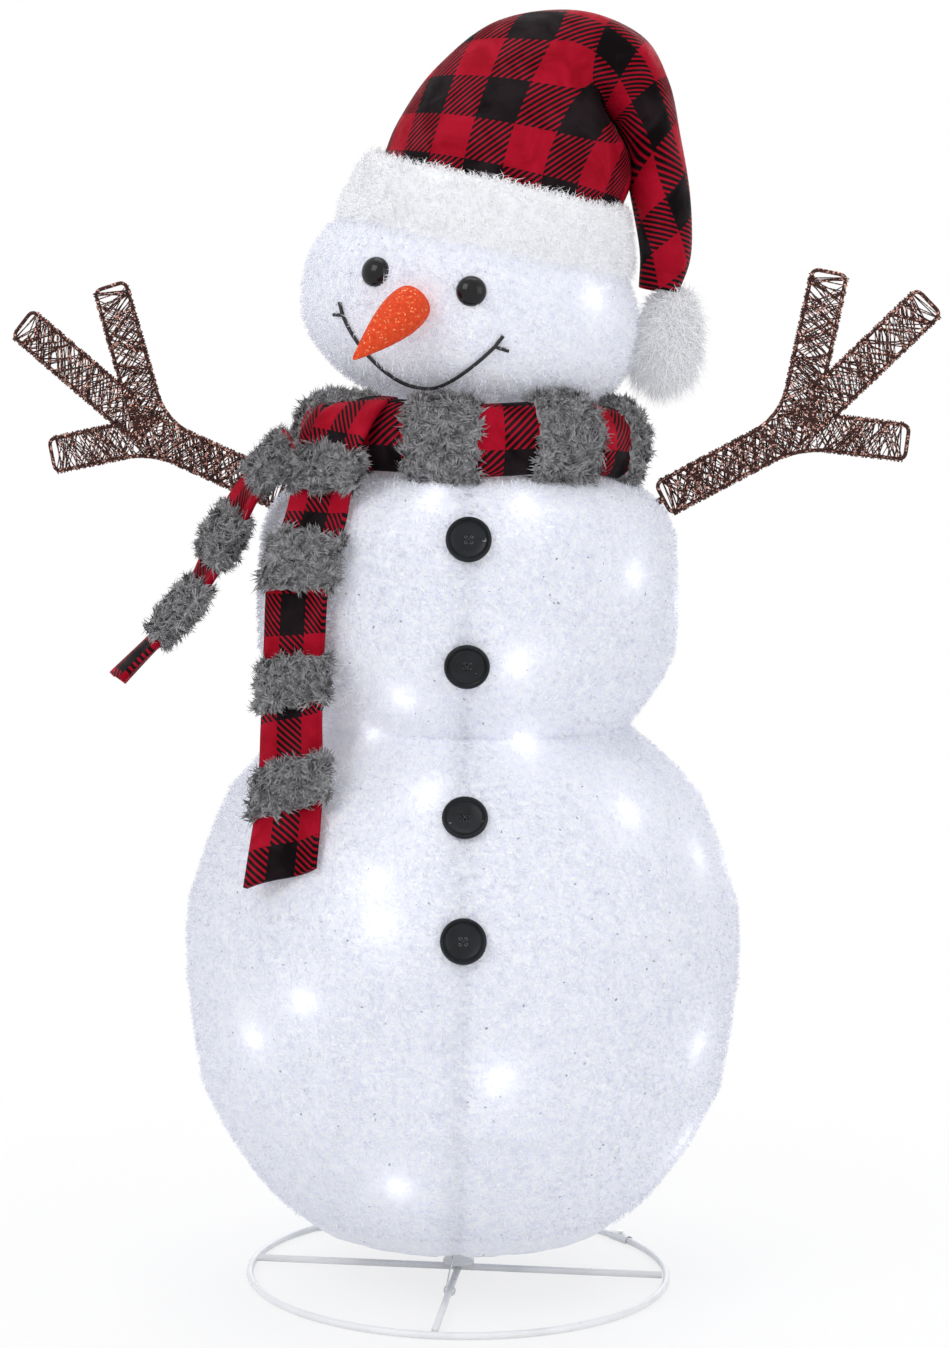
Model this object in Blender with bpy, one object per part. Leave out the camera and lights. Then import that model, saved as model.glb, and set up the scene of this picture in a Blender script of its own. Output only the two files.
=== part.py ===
"""Lit pop-up yard snowman: wire hoops in a plush cover, hung on a telescopic pole over a ring stand.

Metres, +Z up, the face looks towards -Y. The origin is on the ground under the pole.
"""
import math

import bmesh
import bpy
from mathutils import Matrix, Vector

# Fits and round-offs
GAP = 0.0003            # clearance between pieces that seat on each other
TUBE_SIDES = 8          # facets round a stand tube
FULL_TURN = 2.0 * math.pi

# Ring stand
RING_RADIUS = 0.252     # ground ring, centre line
RING_TUBE = 0.0042      # radius of the ring and spoke tube
BASE_TURN = math.radians(-6.0)
SPOKE_LIFT = 0.0045     # the spokes sit above the ring's underside, clear of the ground
COUPLING_ANGLES = (math.radians(41.5), math.radians(138.5))
COUPLING_LENGTH = 0.034
COUPLING_WALL = 0.0010
COUPLING_LIP = math.radians(-35.0)
BOLT_RADIUS = 0.0032
BOLT_HEIGHT = 0.0026
BOLT_FLATS = 6
RING_SIDES = 48
LIP_STEPS = 6           # facets round a saddle coupling

# Telescopic pole
POLE_RADIUS = 0.0125
POLE_WALL = 0.0018
LOWER_POLE_TOP = 0.530
UPPER_POLE_OVERLAP = 0.065
UPPER_POLE_TOP = 1.245
SOCKET_FLANGE_RADIUS = 0.0190
SOCKET_FLANGE_HEIGHT = 0.0050
SOCKET_WALL = 0.0035
SOCKET_TOP = 0.052
CLAMP_WALL = 0.0050
CLAMP_HEIGHT = 0.034
SCREW_RADIUS = 0.0030
SCREW_HEAD_RADIUS = 0.0075
SCREW_HEAD_LENGTH = 0.0070
SCREW_SIDES = 10
SOCKET_SCREW_TURN = math.radians(-165.0)

# Wire hoops of the body, each level with its radius
HOOP_WIRE = 0.0020
BOTTOM_Z, BOTTOM_RADIUS = 0.085, 0.185
LOW_Z, LOW_RADIUS = 0.245, 0.299
BELLY_Z, BELLY_RADIUS = 0.370, 0.318
CHEST_Z, CHEST_RADIUS = 0.463, 0.315
UPPER_Z, UPPER_RADIUS = 0.588, 0.268
WAIST_Z, WAIST_RADIUS = 0.671, 0.182
RIB_Z, RIB_RADIUS = 0.760, 0.235
SHOULDER_Z, SHOULDER_RADIUS = 0.896, 0.234
NECK_Z, NECK_RADIUS = 0.972, 0.138
HUB_WALL = 0.0030
HUB_HEIGHT = 0.016
HUB_SPOKES = 4
SPOKE_WIRE = 0.0016

# Light wires and plush covers
LIGHT_WIRE = 0.0011
BULB_RADIUS = 0.0042
BULB_LENGTH = 0.011
COVER_WALL = 0.0040
BUTTON_RADIUS = 0.0255
BUTTON_THICK = 0.0075
BUTTON_RIM = 0.0045
BUTTON_HOLE = 0.0026
BUTTON_HOLE_PITCH = 0.0058
CONNECTOR_Z = 0.130
CONNECTOR_RADIUS = 0.0075
CONNECTOR_LENGTH = 0.046

# Chain between the bottom hub and the front spoke
CHAIN_TOP_REACH = 0.036
CHAIN_FOOT_REACH = 0.098
LINK_WIRE = 0.0012
LINK_HALF = 0.0055
LINK_BEND = 0.0034
LINK_COUNT = 3
HOOK_EYE_TURNS = (-20, 20, 60, 100, 140, 180)
HOOK_LOOP_TURNS = (-30, -80, -130, -180, -230, -280, -325)

# Arms, drawn outwards from the pole as (reach, height) and then turned into place
ARM_WIDTH = 0.040
ARM_WIRE = 0.0022
ARM_TURNS = {"right": math.radians(-6.0), "left": math.radians(169.0)}
ARM_DROOP = {"right": 0.0, "left": math.radians(6.0)}
ARM_SHOULDER = Vector((0.230, 0.941))
ARM_FORK = Vector((0.383, 1.025))
ARM_TIPS = (Vector((0.512, 1.011)), Vector((0.533, 1.174)), Vector((0.418, 1.207)))
ARM_TIP_ROUND = 0.009
NET_THICKNESS = 0.0030
NET_STRAND = 0.0036
NET_PITCH = 0.0150
NET_EDGE = 0.018
NET_FORK_CLEAR = 0.062
PEG_RADIUS = 0.0040
PEG_LENGTH = 0.058
SLEEVE_START = 0.030
ARM_SLEEVE_WALL = 0.0020
PEG_HOLE_CLEARANCE = 0.0020

# Scarf
WRAP_RADIUS = 0.155
WRAP_HALF_THICK = 0.025
WRAP_HALF_HEIGHT = 0.034
WRAP_Z = 1.0088
WRAP_SIDES = 36
WRAP_FOLDS = 9
WRAP_FOLD_DEPTH = 0.0016
KNOT_TURN = math.radians(219.0)
KNOT_HALF = (0.050, 0.026, 0.044)
KNOT_Z = 1.001
KNOT_SET_IN = 0.0041
TAIL_WIDTH = 0.082
TAIL_THICK = 0.010
TAIL_FOLD = 0.005
FRONT_TAIL = ((-0.163, -0.1465, 0.9655), (-0.182, -0.180, 0.915), (-0.192, -0.196, 0.860),
              (-0.194, -0.196, 0.780), (-0.196, -0.202, 0.690), (-0.196, -0.220, 0.610),
              (-0.204, -0.250, 0.520))
SIDE_TAIL = ((-0.2025, -0.1109, 1.005), (-0.250, -0.099, 0.950), (-0.284, -0.086, 0.890),
             (-0.330, -0.076, 0.808), (-0.408, -0.066, 0.725))

# Head, hat and face, in the head's own frame
HEAD_CENTRE = Vector((0.0, 0.0, 1.166))
HEAD_RADIUS = 0.197
HEAD_HALF_HEIGHT = 0.130
HEAD_TURN = math.radians(-17.5)
HEAD_ROLL = math.radians(11.5)
HEAD_OPENING = 0.062
HEAD_JOWL = 2.5          # how square the head is below its middle, 2 being round
HEAD_SIDES = 28
HEAD_FACET_DIP = 0.0008   # how far the faceted skin lies inside the true round of the head
HEAD_SLEEVE_WALL = 0.0022
HEAD_SLEEVE_LENGTH = 0.120
HEAD_BULBS = 6
TRIM_LOW = 0.070
TRIM_HUG = 0.028
TRIM_OUTER = ((HEAD_RADIUS - 0.069, 0.126), (HEAD_RADIUS - 0.059, 0.146), (HEAD_RADIUS - 0.042, 0.142),
              (HEAD_RADIUS - 0.029, 0.122), (HEAD_RADIUS - 0.0215, 0.094), (HEAD_RADIUS - 0.0205, TRIM_LOW))
POM_RADIUS = 0.049
POM_CLEARANCE = 0.001
POM_ACROSS = HEAD_RADIUS + POM_CLEARANCE + POM_RADIUS
EYE_RADIUS = 0.017
EYE_DEPTH = 0.012
EYE_ACROSS = 0.0575
EYE_Z = 0.005
NOSE_LENGTH = 0.100
NOSE_RADIUS = 0.024
NOSE_LINE = ((0.0, 1.0), (0.28, 0.94), (0.70, 0.55), (1.0, 0.12), (0.9, 0.0), (0.0, 0.0))
NOSE_WAY = Vector((-0.324, -0.589, -0.740))
NOSE_Z = -0.022
NOSE_SET_IN = 0.0031
MOUTH_WIRE = 0.0022
MOUTH_REACH = math.radians(28.5)
MOUTH_CORNER_Z = -0.048
MOUTH_DIP = 0.060
MOUTH_STEPS = 8
# Cross-sections along the folded hat, cut to the head's side: inner crease point, outer point, half depth
SIDE = HEAD_RADIUS
HAT_RINGS = (((SIDE - 0.051, 0.1465), (0.055 - SIDE, 0.1465), SIDE - 0.053),
             ((SIDE - 0.048, 0.176), (0.066 - SIDE, 0.190), SIDE - 0.061),
             ((SIDE - 0.054, 0.202), (0.097 - SIDE, 0.258), SIDE - 0.081),
             ((SIDE - 0.073, 0.226), (0.155 - SIDE, 0.326), SIDE - 0.107),
             ((SIDE - 0.093, 0.243), (SIDE - 0.148, 0.358), 0.072),
             ((SIDE - 0.089, 0.246), (SIDE - 0.065, 0.348), 0.060),
             ((SIDE - 0.069, 0.234), (SIDE - 0.019, 0.302), 0.053),
             ((SIDE - 0.050, 0.211), (SIDE + 0.013, 0.240), 0.050),
             ((SIDE - 0.041, 0.172), (SIDE + 0.033, 0.174), 0.048),
             ((SIDE - 0.015, 0.104), (SIDE + 0.049, 0.110), 0.044),
             ((SIDE - 0.001, 0.047), (SIDE + 0.053, 0.047), 0.030))

BODIES = {}
MATERIALS = {}


def finish(name, colour, roughness, metallic=0.0):
    """A Principled material, made once for each name."""
    if name not in MATERIALS:
        made = bpy.data.materials.new(name)
        made.use_nodes = True
        shader = made.node_tree.nodes["Principled BSDF"]
        shader.inputs["Base Color"].default_value = (*colour, 1.0)
        shader.inputs["Roughness"].default_value = roughness
        shader.inputs["Metallic"].default_value = metallic
        MATERIALS[name] = made
    return MATERIALS[name]


def white_paint():
    return finish("white_paint", (0.86, 0.87, 0.88), 0.35)


def steel():
    return finish("zinc_steel", (0.62, 0.63, 0.65), 0.30, 1.0)


def plush():
    return finish("white_plush", (0.86, 0.88, 0.93), 0.85)


def black_plastic():
    return finish("black_plastic", (0.02, 0.02, 0.022), 0.35)


def light_wire():
    return finish("clear_light_wire", (0.85, 0.88, 0.90), 0.25)


def plaid():
    return finish("red_plaid_velvet", (0.50, 0.02, 0.05), 0.75)


def body_axis(name, place):
    """An empty on a body's joint axis, which its pieces hang from."""
    axis = bpy.data.objects.new(name + "_axis", None)
    axis.matrix_world = Matrix.Translation(place)
    bpy.context.scene.collection.objects.link(axis)
    BODIES[name] = axis


def place_object(name, data, material, body):
    """Link an object whose data is in world places and hang it from its body's empty."""
    made = bpy.data.objects.new(name, data)
    bpy.context.scene.collection.objects.link(made)
    data.materials.append(material)
    if body in BODIES:
        made.parent = BODIES[body]
        made.matrix_parent_inverse = BODIES[body].matrix_world.inverted()
    return made


def mesh_object(name, shape, material, body):
    """Turn a bmesh into an object with its faces out."""
    bmesh.ops.recalc_face_normals(shape, faces=shape.faces)
    data = bpy.data.meshes.new(name)
    shape.to_mesh(data)
    shape.free()
    data.shade_smooth()
    data.set_sharp_from_angle(angle=math.radians(35.0))
    return place_object(name, data, material, body)


def turned(profile, sides, closed):
    """Spin an X-Z profile about Z. A closed profile is a ring section, an open one ends on the axis."""
    shape = bmesh.new()
    points = [shape.verts.new((across, 0.0, up)) for across, up in profile]
    edges = [shape.edges.new(pair) for pair in zip(points, points[1:])]
    if closed:
        edges.append(shape.edges.new((points[-1], points[0])))
    bmesh.ops.spin(shape, geom=points + edges, cent=(0, 0, 0), axis=(0, 0, 1), angle=FULL_TURN,
                   steps=sides, use_merge=True)
    bmesh.ops.remove_doubles(shape, verts=shape.verts, dist=1e-6)
    return shape


def ring_section(radius, height, wire, sides, flat_down=False):
    """The section of a round-wire hoop, with a facet down where it stands on the ground."""
    start = math.pi / sides if flat_down else 0.0
    reach = wire / math.cos(math.pi / sides) if flat_down else wire
    turns = [start + FULL_TURN * step / sides for step in range(sides)]
    return [(radius + reach * math.cos(turn), height + reach * math.sin(turn)) for turn in turns]


def bar(first, last, radius, sides=TUBE_SIDES, flat_down=False):
    """A straight round bar between two points, as a closed bmesh."""
    shape = bmesh.new()
    along = (last - first)
    reach = radius / math.cos(math.pi / sides) if flat_down else radius
    bmesh.ops.create_cone(shape, cap_ends=True, segments=sides, radius1=reach, radius2=reach,
                          depth=along.length)
    # A half step of turn lays one facet of a level bar face down.
    step = Matrix.Rotation(math.pi / sides, 4, "Z") if flat_down else Matrix.Identity(4)
    aim = along.normalized().to_track_quat("Z", "Y").to_matrix().to_4x4()
    bmesh.ops.transform(shape, matrix=Matrix.Translation((first + last) / 2) @ aim @ step, verts=shape.verts)
    return shape


def wire_object(name, points, radius, material, body, cyclic=False, swells=None, resolution=1):
    """A wire along points, as a bevelled curve. Swells scale the wire's radius point by point."""
    data = bpy.data.curves.new(name, "CURVE")
    data.dimensions = "3D"
    data.bevel_depth = radius
    data.bevel_resolution = resolution
    data.use_fill_caps = not cyclic
    spline = data.splines.new("POLY")
    spline.points.add(len(points) - 1)
    for index, place in enumerate(points):
        spline.points[index].co = (*place, 1.0)
        spline.points[index].radius = swells[index] if swells else 1.0
    spline.use_cyclic_u = cyclic
    return place_object(name, data, material, body)


def guide(shape):
    """A hidden helper object for a Boolean."""
    data = bpy.data.meshes.new("guide")
    bmesh.ops.recalc_face_normals(shape, faces=shape.faces)
    shape.to_mesh(data)
    shape.free()
    helper = bpy.data.objects.new("guide", data)
    bpy.context.scene.collection.objects.link(helper)
    helper.hide_render = True
    helper.display_type = "WIRE"
    return helper


def combine(target, shape, operation):
    """Add a Boolean of a shape to an object."""
    change = target.modifiers.new(operation.title(), "BOOLEAN")
    change.operation = operation
    change.object = guide(shape)
    change.solver = "EXACT"


def loft(rings):
    """A closed body through rings of equal length, capped at both ends."""
    shape = bmesh.new()
    rows = [[shape.verts.new(place) for place in ring] for ring in rings]
    for near, far in zip(rows, rows[1:]):
        for index in range(len(near)):
            after = (index + 1) % len(near)
            shape.faces.new((near[index], near[after], far[after], far[index]))
    shape.faces.new(rows[0])
    shape.faces.new(list(reversed(rows[-1])))
    return shape


def smooth_path(points, steps):
    """Points read from a smooth Catmull-Rom curve through a route's own points."""
    padded = [2 * points[0] - points[1], *points, 2 * points[-1] - points[-2]]
    path = []
    for index in range(1, len(padded) - 2):
        before, start, stop, after = padded[index - 1:index + 3]
        for step in range(steps):
            part = step / steps
            path.append(0.5 * (2 * start + (stop - before) * part
                               + (2 * before - 5 * start + 4 * stop - after) * part ** 2
                               + (3 * start - before - 3 * stop + after) * part ** 3))
    path.append(points[-1].copy())
    return path


def round_z(across, turn, up):
    """A point at a radius and turn about the pole."""
    return Vector((across * math.cos(turn), across * math.sin(turn), up))


def arc(section, start, stop, steps):
    """Part of a ring with a given section, capped at both ends."""
    turns = [start + (stop - start) * step / steps for step in range(steps + 1)]
    return loft([[round_z(across, turn, up) for across, up in section] for turn in turns])


RING_Z = RING_TUBE
SPOKE_Z = RING_TUBE + SPOKE_LIFT
RING_CORNER = RING_TUBE / math.cos(math.pi / TUBE_SIDES)
RING_FACET_DIP = RING_RADIUS * (1 - math.cos(math.pi / RING_SIDES))
SADDLE_INNER = RING_CORNER + GAP + RING_FACET_DIP
SADDLE_OUTER = SADDLE_INNER + COUPLING_WALL
SPOKE_END = RING_RADIUS - RING_TUBE - RING_FACET_DIP - 2 * GAP
SOCKET_BASE = SPOKE_Z + RING_TUBE + GAP
SOCKET_FLOOR = SOCKET_BASE + SOCKET_FLANGE_HEIGHT
POLE_SIDES = 20
POLE_BORE = POLE_RADIUS - POLE_WALL
UPPER_RADIUS_OUT = POLE_BORE - GAP
UPPER_POLE_FOOT = LOWER_POLE_TOP - UPPER_POLE_OVERLAP


def ring_stand():
    """Two ground-ring arcs held by saddle couplings, a cross bar and two spokes."""
    section = ring_section(RING_RADIUS, RING_Z, RING_TUBE, TUBE_SIDES, flat_down=True)
    slit = GAP / RING_RADIUS
    right, left = (turn + BASE_TURN for turn in COUPLING_ANGLES)
    rear_steps = round(RING_SIDES * (left - right) / FULL_TURN)
    mesh_object("base_ring_rear", arc(section, right + slit, left - slit, rear_steps), white_paint(), "stand")
    front = arc(section, left + slit, right + FULL_TURN - slit, RING_SIDES - rear_steps)
    mesh_object("base_ring_front", front, white_paint(), "stand")
    spread = math.pi - 2 * COUPLING_LIP
    lips = [COUPLING_LIP + spread * step / LIP_STEPS for step in range(LIP_STEPS + 1)]
    corner = SADDLE_INNER / math.cos(spread / (2 * LIP_STEPS))
    outer = [(RING_RADIUS + SADDLE_OUTER * math.cos(lip), RING_Z + SADDLE_OUTER * math.sin(lip))
             for lip in lips]
    inner = [(RING_RADIUS + corner * math.cos(lip), RING_Z + corner * math.sin(lip))
             for lip in reversed(lips)]
    half = COUPLING_LENGTH / RING_RADIUS / 2
    for side, turn in (("right", right), ("left", left)):
        saddle = arc(outer + inner, turn - half, turn + half, 4)
        mesh_object("ring_coupling_" + side, saddle, white_paint(), "stand")
        foot = round_z(RING_RADIUS, turn, RING_Z + SADDLE_OUTER + GAP)
        bolt = bar(foot, foot + Vector((0, 0, BOLT_HEIGHT)), BOLT_RADIUS, BOLT_FLATS)
        mesh_object("ring_bolt_" + side, bolt, steel(), "stand")
    across = round_z(SPOKE_END, BASE_TURN, SPOKE_Z)
    opposite = -across + Vector((0, 0, 2 * SPOKE_Z))
    mesh_object("base_cross_bar", bar(opposite, across, RING_TUBE, flat_down=True), white_paint(), "stand")
    for name, turn in (("rear_spoke", BASE_TURN + math.pi / 2), ("front_spoke", BASE_TURN - math.pi / 2)):
        start = round_z(RING_TUBE + GAP, turn, SPOKE_Z)
        mesh_object(name, bar(start, round_z(SPOKE_END, turn, SPOKE_Z), RING_TUBE, flat_down=True),
                    white_paint(), "stand")


def thumb_screw(name, height, turn, tip, seat, body):
    """A knob-headed set screw pointing at the pole, with its head on a seat at a radius."""
    reach = seat - tip
    shape = turned([(0, 0), (SCREW_RADIUS, 0), (SCREW_RADIUS, reach), (SCREW_HEAD_RADIUS, reach + GAP),
                    (SCREW_HEAD_RADIUS, reach + SCREW_HEAD_LENGTH), (0, reach + SCREW_HEAD_LENGTH)],
                   SCREW_SIDES, False)
    aim = round_z(1, turn, 0).to_track_quat("Z", "Y").to_matrix().to_4x4()
    bmesh.ops.transform(shape, matrix=Matrix.Translation(round_z(tip, turn, height)) @ aim, verts=shape.verts)
    return mesh_object(name, shape, steel(), body)


def screw_hole(target, height, turn, tip, seat):
    """Cut the clear hole that a set screw passes through."""
    combine(target, bar(round_z(tip - GAP, turn, height), round_z(seat + 2 * GAP, turn, height),
                        SCREW_RADIUS + GAP, SCREW_SIDES), "DIFFERENCE")


def pole():
    """Flanged foot socket, two telescoping tubes and the clamp between them."""
    bore = POLE_RADIUS + GAP
    socket_out = bore + SOCKET_WALL
    cup = turned([(0, SOCKET_FLOOR), (bore, SOCKET_FLOOR), (bore, SOCKET_TOP), (socket_out, SOCKET_TOP),
                  (socket_out, SOCKET_FLOOR), (SOCKET_FLANGE_RADIUS, SOCKET_FLOOR),
                  (SOCKET_FLANGE_RADIUS, SOCKET_BASE), (0, SOCKET_BASE)], POLE_SIDES, False)
    socket = mesh_object("pole_socket", cup, white_paint(), "stand")
    screw_height = (SOCKET_FLOOR + SOCKET_TOP) / 2
    screw_hole(socket, screw_height, SOCKET_SCREW_TURN, bore, socket_out)
    thumb_screw("socket_screw", screw_height, SOCKET_SCREW_TURN, bore, socket_out + GAP, "stand")
    tube = [(POLE_BORE, LOWER_POLE_TOP), (POLE_RADIUS, LOWER_POLE_TOP), (POLE_RADIUS, SOCKET_FLOOR + GAP),
            (POLE_BORE, SOCKET_FLOOR + GAP)]
    mesh_object("lower_pole", turned(tube, POLE_SIDES, True), white_paint(), "stand")
    clamp_out = bore + CLAMP_WALL
    clamp_low = LOWER_POLE_TOP + GAP + POLE_WALL - CLAMP_HEIGHT
    collar = [(POLE_BORE, LOWER_POLE_TOP + GAP), (POLE_BORE, clamp_low + CLAMP_HEIGHT),
              (clamp_out, clamp_low + CLAMP_HEIGHT), (clamp_out, clamp_low), (bore, clamp_low),
              (bore, LOWER_POLE_TOP + GAP)]
    clamp = mesh_object("pole_clamp", turned(collar, POLE_SIDES, True), white_paint(), "stand")
    screw_height = clamp_low + CLAMP_HEIGHT / 2
    screw_hole(clamp, screw_height, 0.0, bore, clamp_out)
    thumb_screw("clamp_screw", screw_height, 0.0, bore, clamp_out + GAP, "stand")
    bar_radius = UPPER_RADIUS_OUT - POLE_WALL
    tube = [(bar_radius, UPPER_POLE_TOP), (UPPER_RADIUS_OUT, UPPER_POLE_TOP),
            (UPPER_RADIUS_OUT, UPPER_POLE_FOOT), (bar_radius, UPPER_POLE_FOOT)]
    mesh_object("upper_pole", turned(tube, POLE_SIDES, True), white_paint(), "mast")


def stadium(centre, along, side):
    """Points round an oblong chain link."""
    points = []
    for end in (1, -1):
        for step in range(5):
            turn = math.pi / 2 * (1 - step / 2) + (0.0 if end > 0 else math.pi)
            points.append(centre + along * (end * LINK_HALF) + side * (LINK_BEND * math.sin(turn))
                          + along * (LINK_BEND * math.cos(turn)))
    return points


def chain():
    """Tension chain from the bottom hub's front wire to a hook round the front spoke."""
    top = round_z(CHAIN_TOP_REACH, -math.pi / 2, BOTTOM_Z)
    foot = round_z(CHAIN_FOOT_REACH, BASE_TURN - math.pi / 2, SPOKE_Z)
    bend = RING_CORNER + 2 * GAP + LINK_WIRE
    along = (foot + Vector((0, 0, bend)) - top).normalized()
    flat = Vector((1, 0, 0))
    flat = (flat - along * flat.dot(along)).normalized()
    upright = along.cross(flat)
    inner = LINK_HALF + LINK_BEND - LINK_WIRE
    pitch = 2 * inner - 3 * GAP
    centre = top + along * (inner - HOOP_WIRE - 5 * GAP)
    for number in range(LINK_COUNT):
        side = upright if number % 2 else flat
        loop = stadium(centre, along, side)
        wire_object("chain_link_%d" % (number + 1), loop, LINK_WIRE, steel(), "stand", cyclic=True)
        centre = centre + along * pitch
    eye = centre - along * pitch + along * (inner - LINK_WIRE - GAP)
    points = [eye + along * LINK_BEND + (upright * math.cos(turn) - along * math.sin(turn)) * LINK_BEND
              for turn in (math.radians(angle) for angle in HOOK_EYE_TURNS)]
    around = round_z(1, BASE_TURN, 0)
    points += [foot + (around * math.sin(turn) + Vector((0, 0, math.cos(turn)))) * bend
               for turn in (math.radians(angle) for angle in HOOK_LOOP_TURNS)]
    wire_object("chain_hook", points, LINK_WIRE, steel(), "stand")


HOOP_SIDES = 28
WIRE_SIDES = 5
HOOPS = {"low": (LOW_Z, LOW_RADIUS), "belly": (BELLY_Z, BELLY_RADIUS), "chest": (CHEST_Z, CHEST_RADIUS),
         "upper": (UPPER_Z, UPPER_RADIUS), "waist": (WAIST_Z, WAIST_RADIUS), "rib": (RIB_Z, RIB_RADIUS),
         "shoulder": (SHOULDER_Z, SHOULDER_RADIUS)}
BULB_COUNTS = {"low": 10, "belly": 10, "upper": 8, "rib": 8, "shoulder": 8}
BUTTON_HOOPS = ("shoulder", "rib", "upper", "chest")


def spider(name, height, radius, hub_bore, body):
    """A hoop with wire spokes welded to a hub that slides on the pole."""
    hoop = turned(ring_section(radius, height, HOOP_WIRE, WIRE_SIDES), HOOP_SIDES, True)
    made = mesh_object(name, hoop, steel(), body)
    hub_out = hub_bore + HUB_WALL
    low, high = height - HUB_HEIGHT / 2, height + HUB_HEIGHT / 2
    hub = [(hub_bore, high), (hub_out, high), (hub_out, low), (hub_bore, low)]
    combine(made, turned(hub, POLE_SIDES, True), "UNION")
    for spoke in range(HUB_SPOKES):
        turn = FULL_TURN * spoke / HUB_SPOKES
        near = hub_bore + HUB_WALL / 2
        spoke_bar = bar(round_z(near, turn, height), round_z(radius, turn, height), SPOKE_WIRE, WIRE_SIDES)
        combine(made, spoke_bar, "UNION")


def light_ring(name, height, radius, count, body):
    """A ring of light wire whose bulbs are swellings on it."""
    points, swells = [], []
    step = FULL_TURN / count
    half = BULB_LENGTH / radius / 2
    full = BULB_RADIUS / LIGHT_WIRE
    for bulb in range(count):
        centre = step * (bulb + 0.5) + math.pi / HOOP_SIDES
        for offset, swell in ((-1.0, 1.0), (-0.5, full), (0.5, full), (1.0, 1.0)):
            points.append(round_z(radius, centre + offset * half, height))
            swells.append(swell)
        for share in (0.3, 0.7):
            points.append(round_z(radius, centre + half + (step - 2 * half) * share, height))
            swells.append(1.0)
    return wire_object(name, points, LIGHT_WIRE, light_wire(), body, cyclic=True, swells=swells, resolution=0)


def hoops():
    """Every hoop of the body and the light wires tied inside them."""
    spider("bottom_hoop", BOTTOM_Z, BOTTOM_RADIUS, POLE_RADIUS + GAP, "stand")
    spider("neck_hoop", NECK_Z, NECK_RADIUS, UPPER_RADIUS_OUT + GAP, "mast")
    for key, (height, radius) in HOOPS.items():
        section = ring_section(radius, height, HOOP_WIRE, WIRE_SIDES)
        mesh_object(key + "_hoop", turned(section, HOOP_SIDES, True), steel(), key)
    for key, count in BULB_COUNTS.items():
        height, radius = HOOPS[key]
        facet_radius = radius * math.cos(math.pi / HOOP_SIDES)
        light_ring("lights_" + key, height, facet_radius - HOOP_WIRE - BULB_RADIUS - GAP, count, key)
    near = POLE_RADIUS + GAP + CONNECTOR_RADIUS
    centre = Vector((0, near, CONNECTOR_Z))
    half = Vector((0, 0, CONNECTOR_LENGTH / 2))
    block = bar(centre - half, centre + half, CONNECTOR_RADIUS, 12)
    mesh_object("light_connector", block, black_plastic(), "stand")


LOWER_LINE = ((BOTTOM_RADIUS - 0.018, BOTTOM_Z - 0.005), (BOTTOM_RADIUS, BOTTOM_Z), (0.244, 0.146),
              (LOW_RADIUS, LOW_Z), (BELLY_RADIUS, BELLY_Z), (CHEST_RADIUS, CHEST_Z), (UPPER_RADIUS, UPPER_Z),
              (WAIST_RADIUS, WAIST_Z - GAP))
MIDDLE_LINE = ((WAIST_RADIUS, WAIST_Z + GAP), (RIB_RADIUS, RIB_Z), (SHOULDER_RADIUS, SHOULDER_Z),
               (0.203, 0.944), (NECK_RADIUS, NECK_Z), (NECK_RADIUS - 0.014, NECK_Z + 0.012))


def cover_rows(line, steps):
    """Inner and outer profile points of a cover that is sewn over its hoops."""
    path = smooth_path([Vector((across, 0, up)) for across, up in line], steps)
    inner, outer = [], []
    seat = HOOP_WIRE + 2 * GAP
    for index, place in enumerate(path):
        ahead = path[min(index + 1, len(path) - 1)] - path[max(index - 1, 0)]
        outward = Vector((ahead.z, 0, -ahead.x)).normalized()
        if index in (0, len(path) - 1):
            outward = Vector((1, 0, 0))
        inner.append(place + outward * seat)
        outer.append(place + outward * (seat + COVER_WALL))
    return inner, outer


def cover(name, line, steps):
    """A plush shell of even wall, open at its two ends."""
    inner, outer = cover_rows(line, steps)
    profile = [(place.x, place.z) for place in list(reversed(outer)) + inner]
    return mesh_object(name, turned(profile, HOOP_SIDES, True), plush(), "stand")


def surface_at(line, height):
    """Radius and outward slope of a cover's outer side at a height."""
    _, outer = cover_rows(line, 2)
    for low, high in zip(outer, outer[1:]):
        if low.z <= height <= high.z:
            part = (height - low.z) / (high.z - low.z)
            ahead = high - low
            return low.x + (high.x - low.x) * part, Vector((ahead.z, 0, -ahead.x)).normalized()
    return outer[-1].x, Vector((1, 0, 0))


def hoop_reach(radius, turn):
    """Reach of a hoop's faceted centre line at a turn about the pole."""
    half = math.pi / HOOP_SIDES
    return radius * math.cos(half) / math.cos(turn % (2 * half) - half)


def stand_off(line, across, height, slope):
    """How far a button stands off its seat so that its back clears the cover above and below it."""
    seat = Vector((across, 0, height))
    _, outer = cover_rows(line, 2)
    under = [point for point in outer if (point - seat).length < BUTTON_RADIUS]
    for level in (height - BUTTON_RADIUS, height + BUTTON_RADIUS):
        under.append(Vector((surface_at(line, level)[0], 0, level)))
    return max(0.0, *((point - seat).dot(slope) for point in under))


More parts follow.
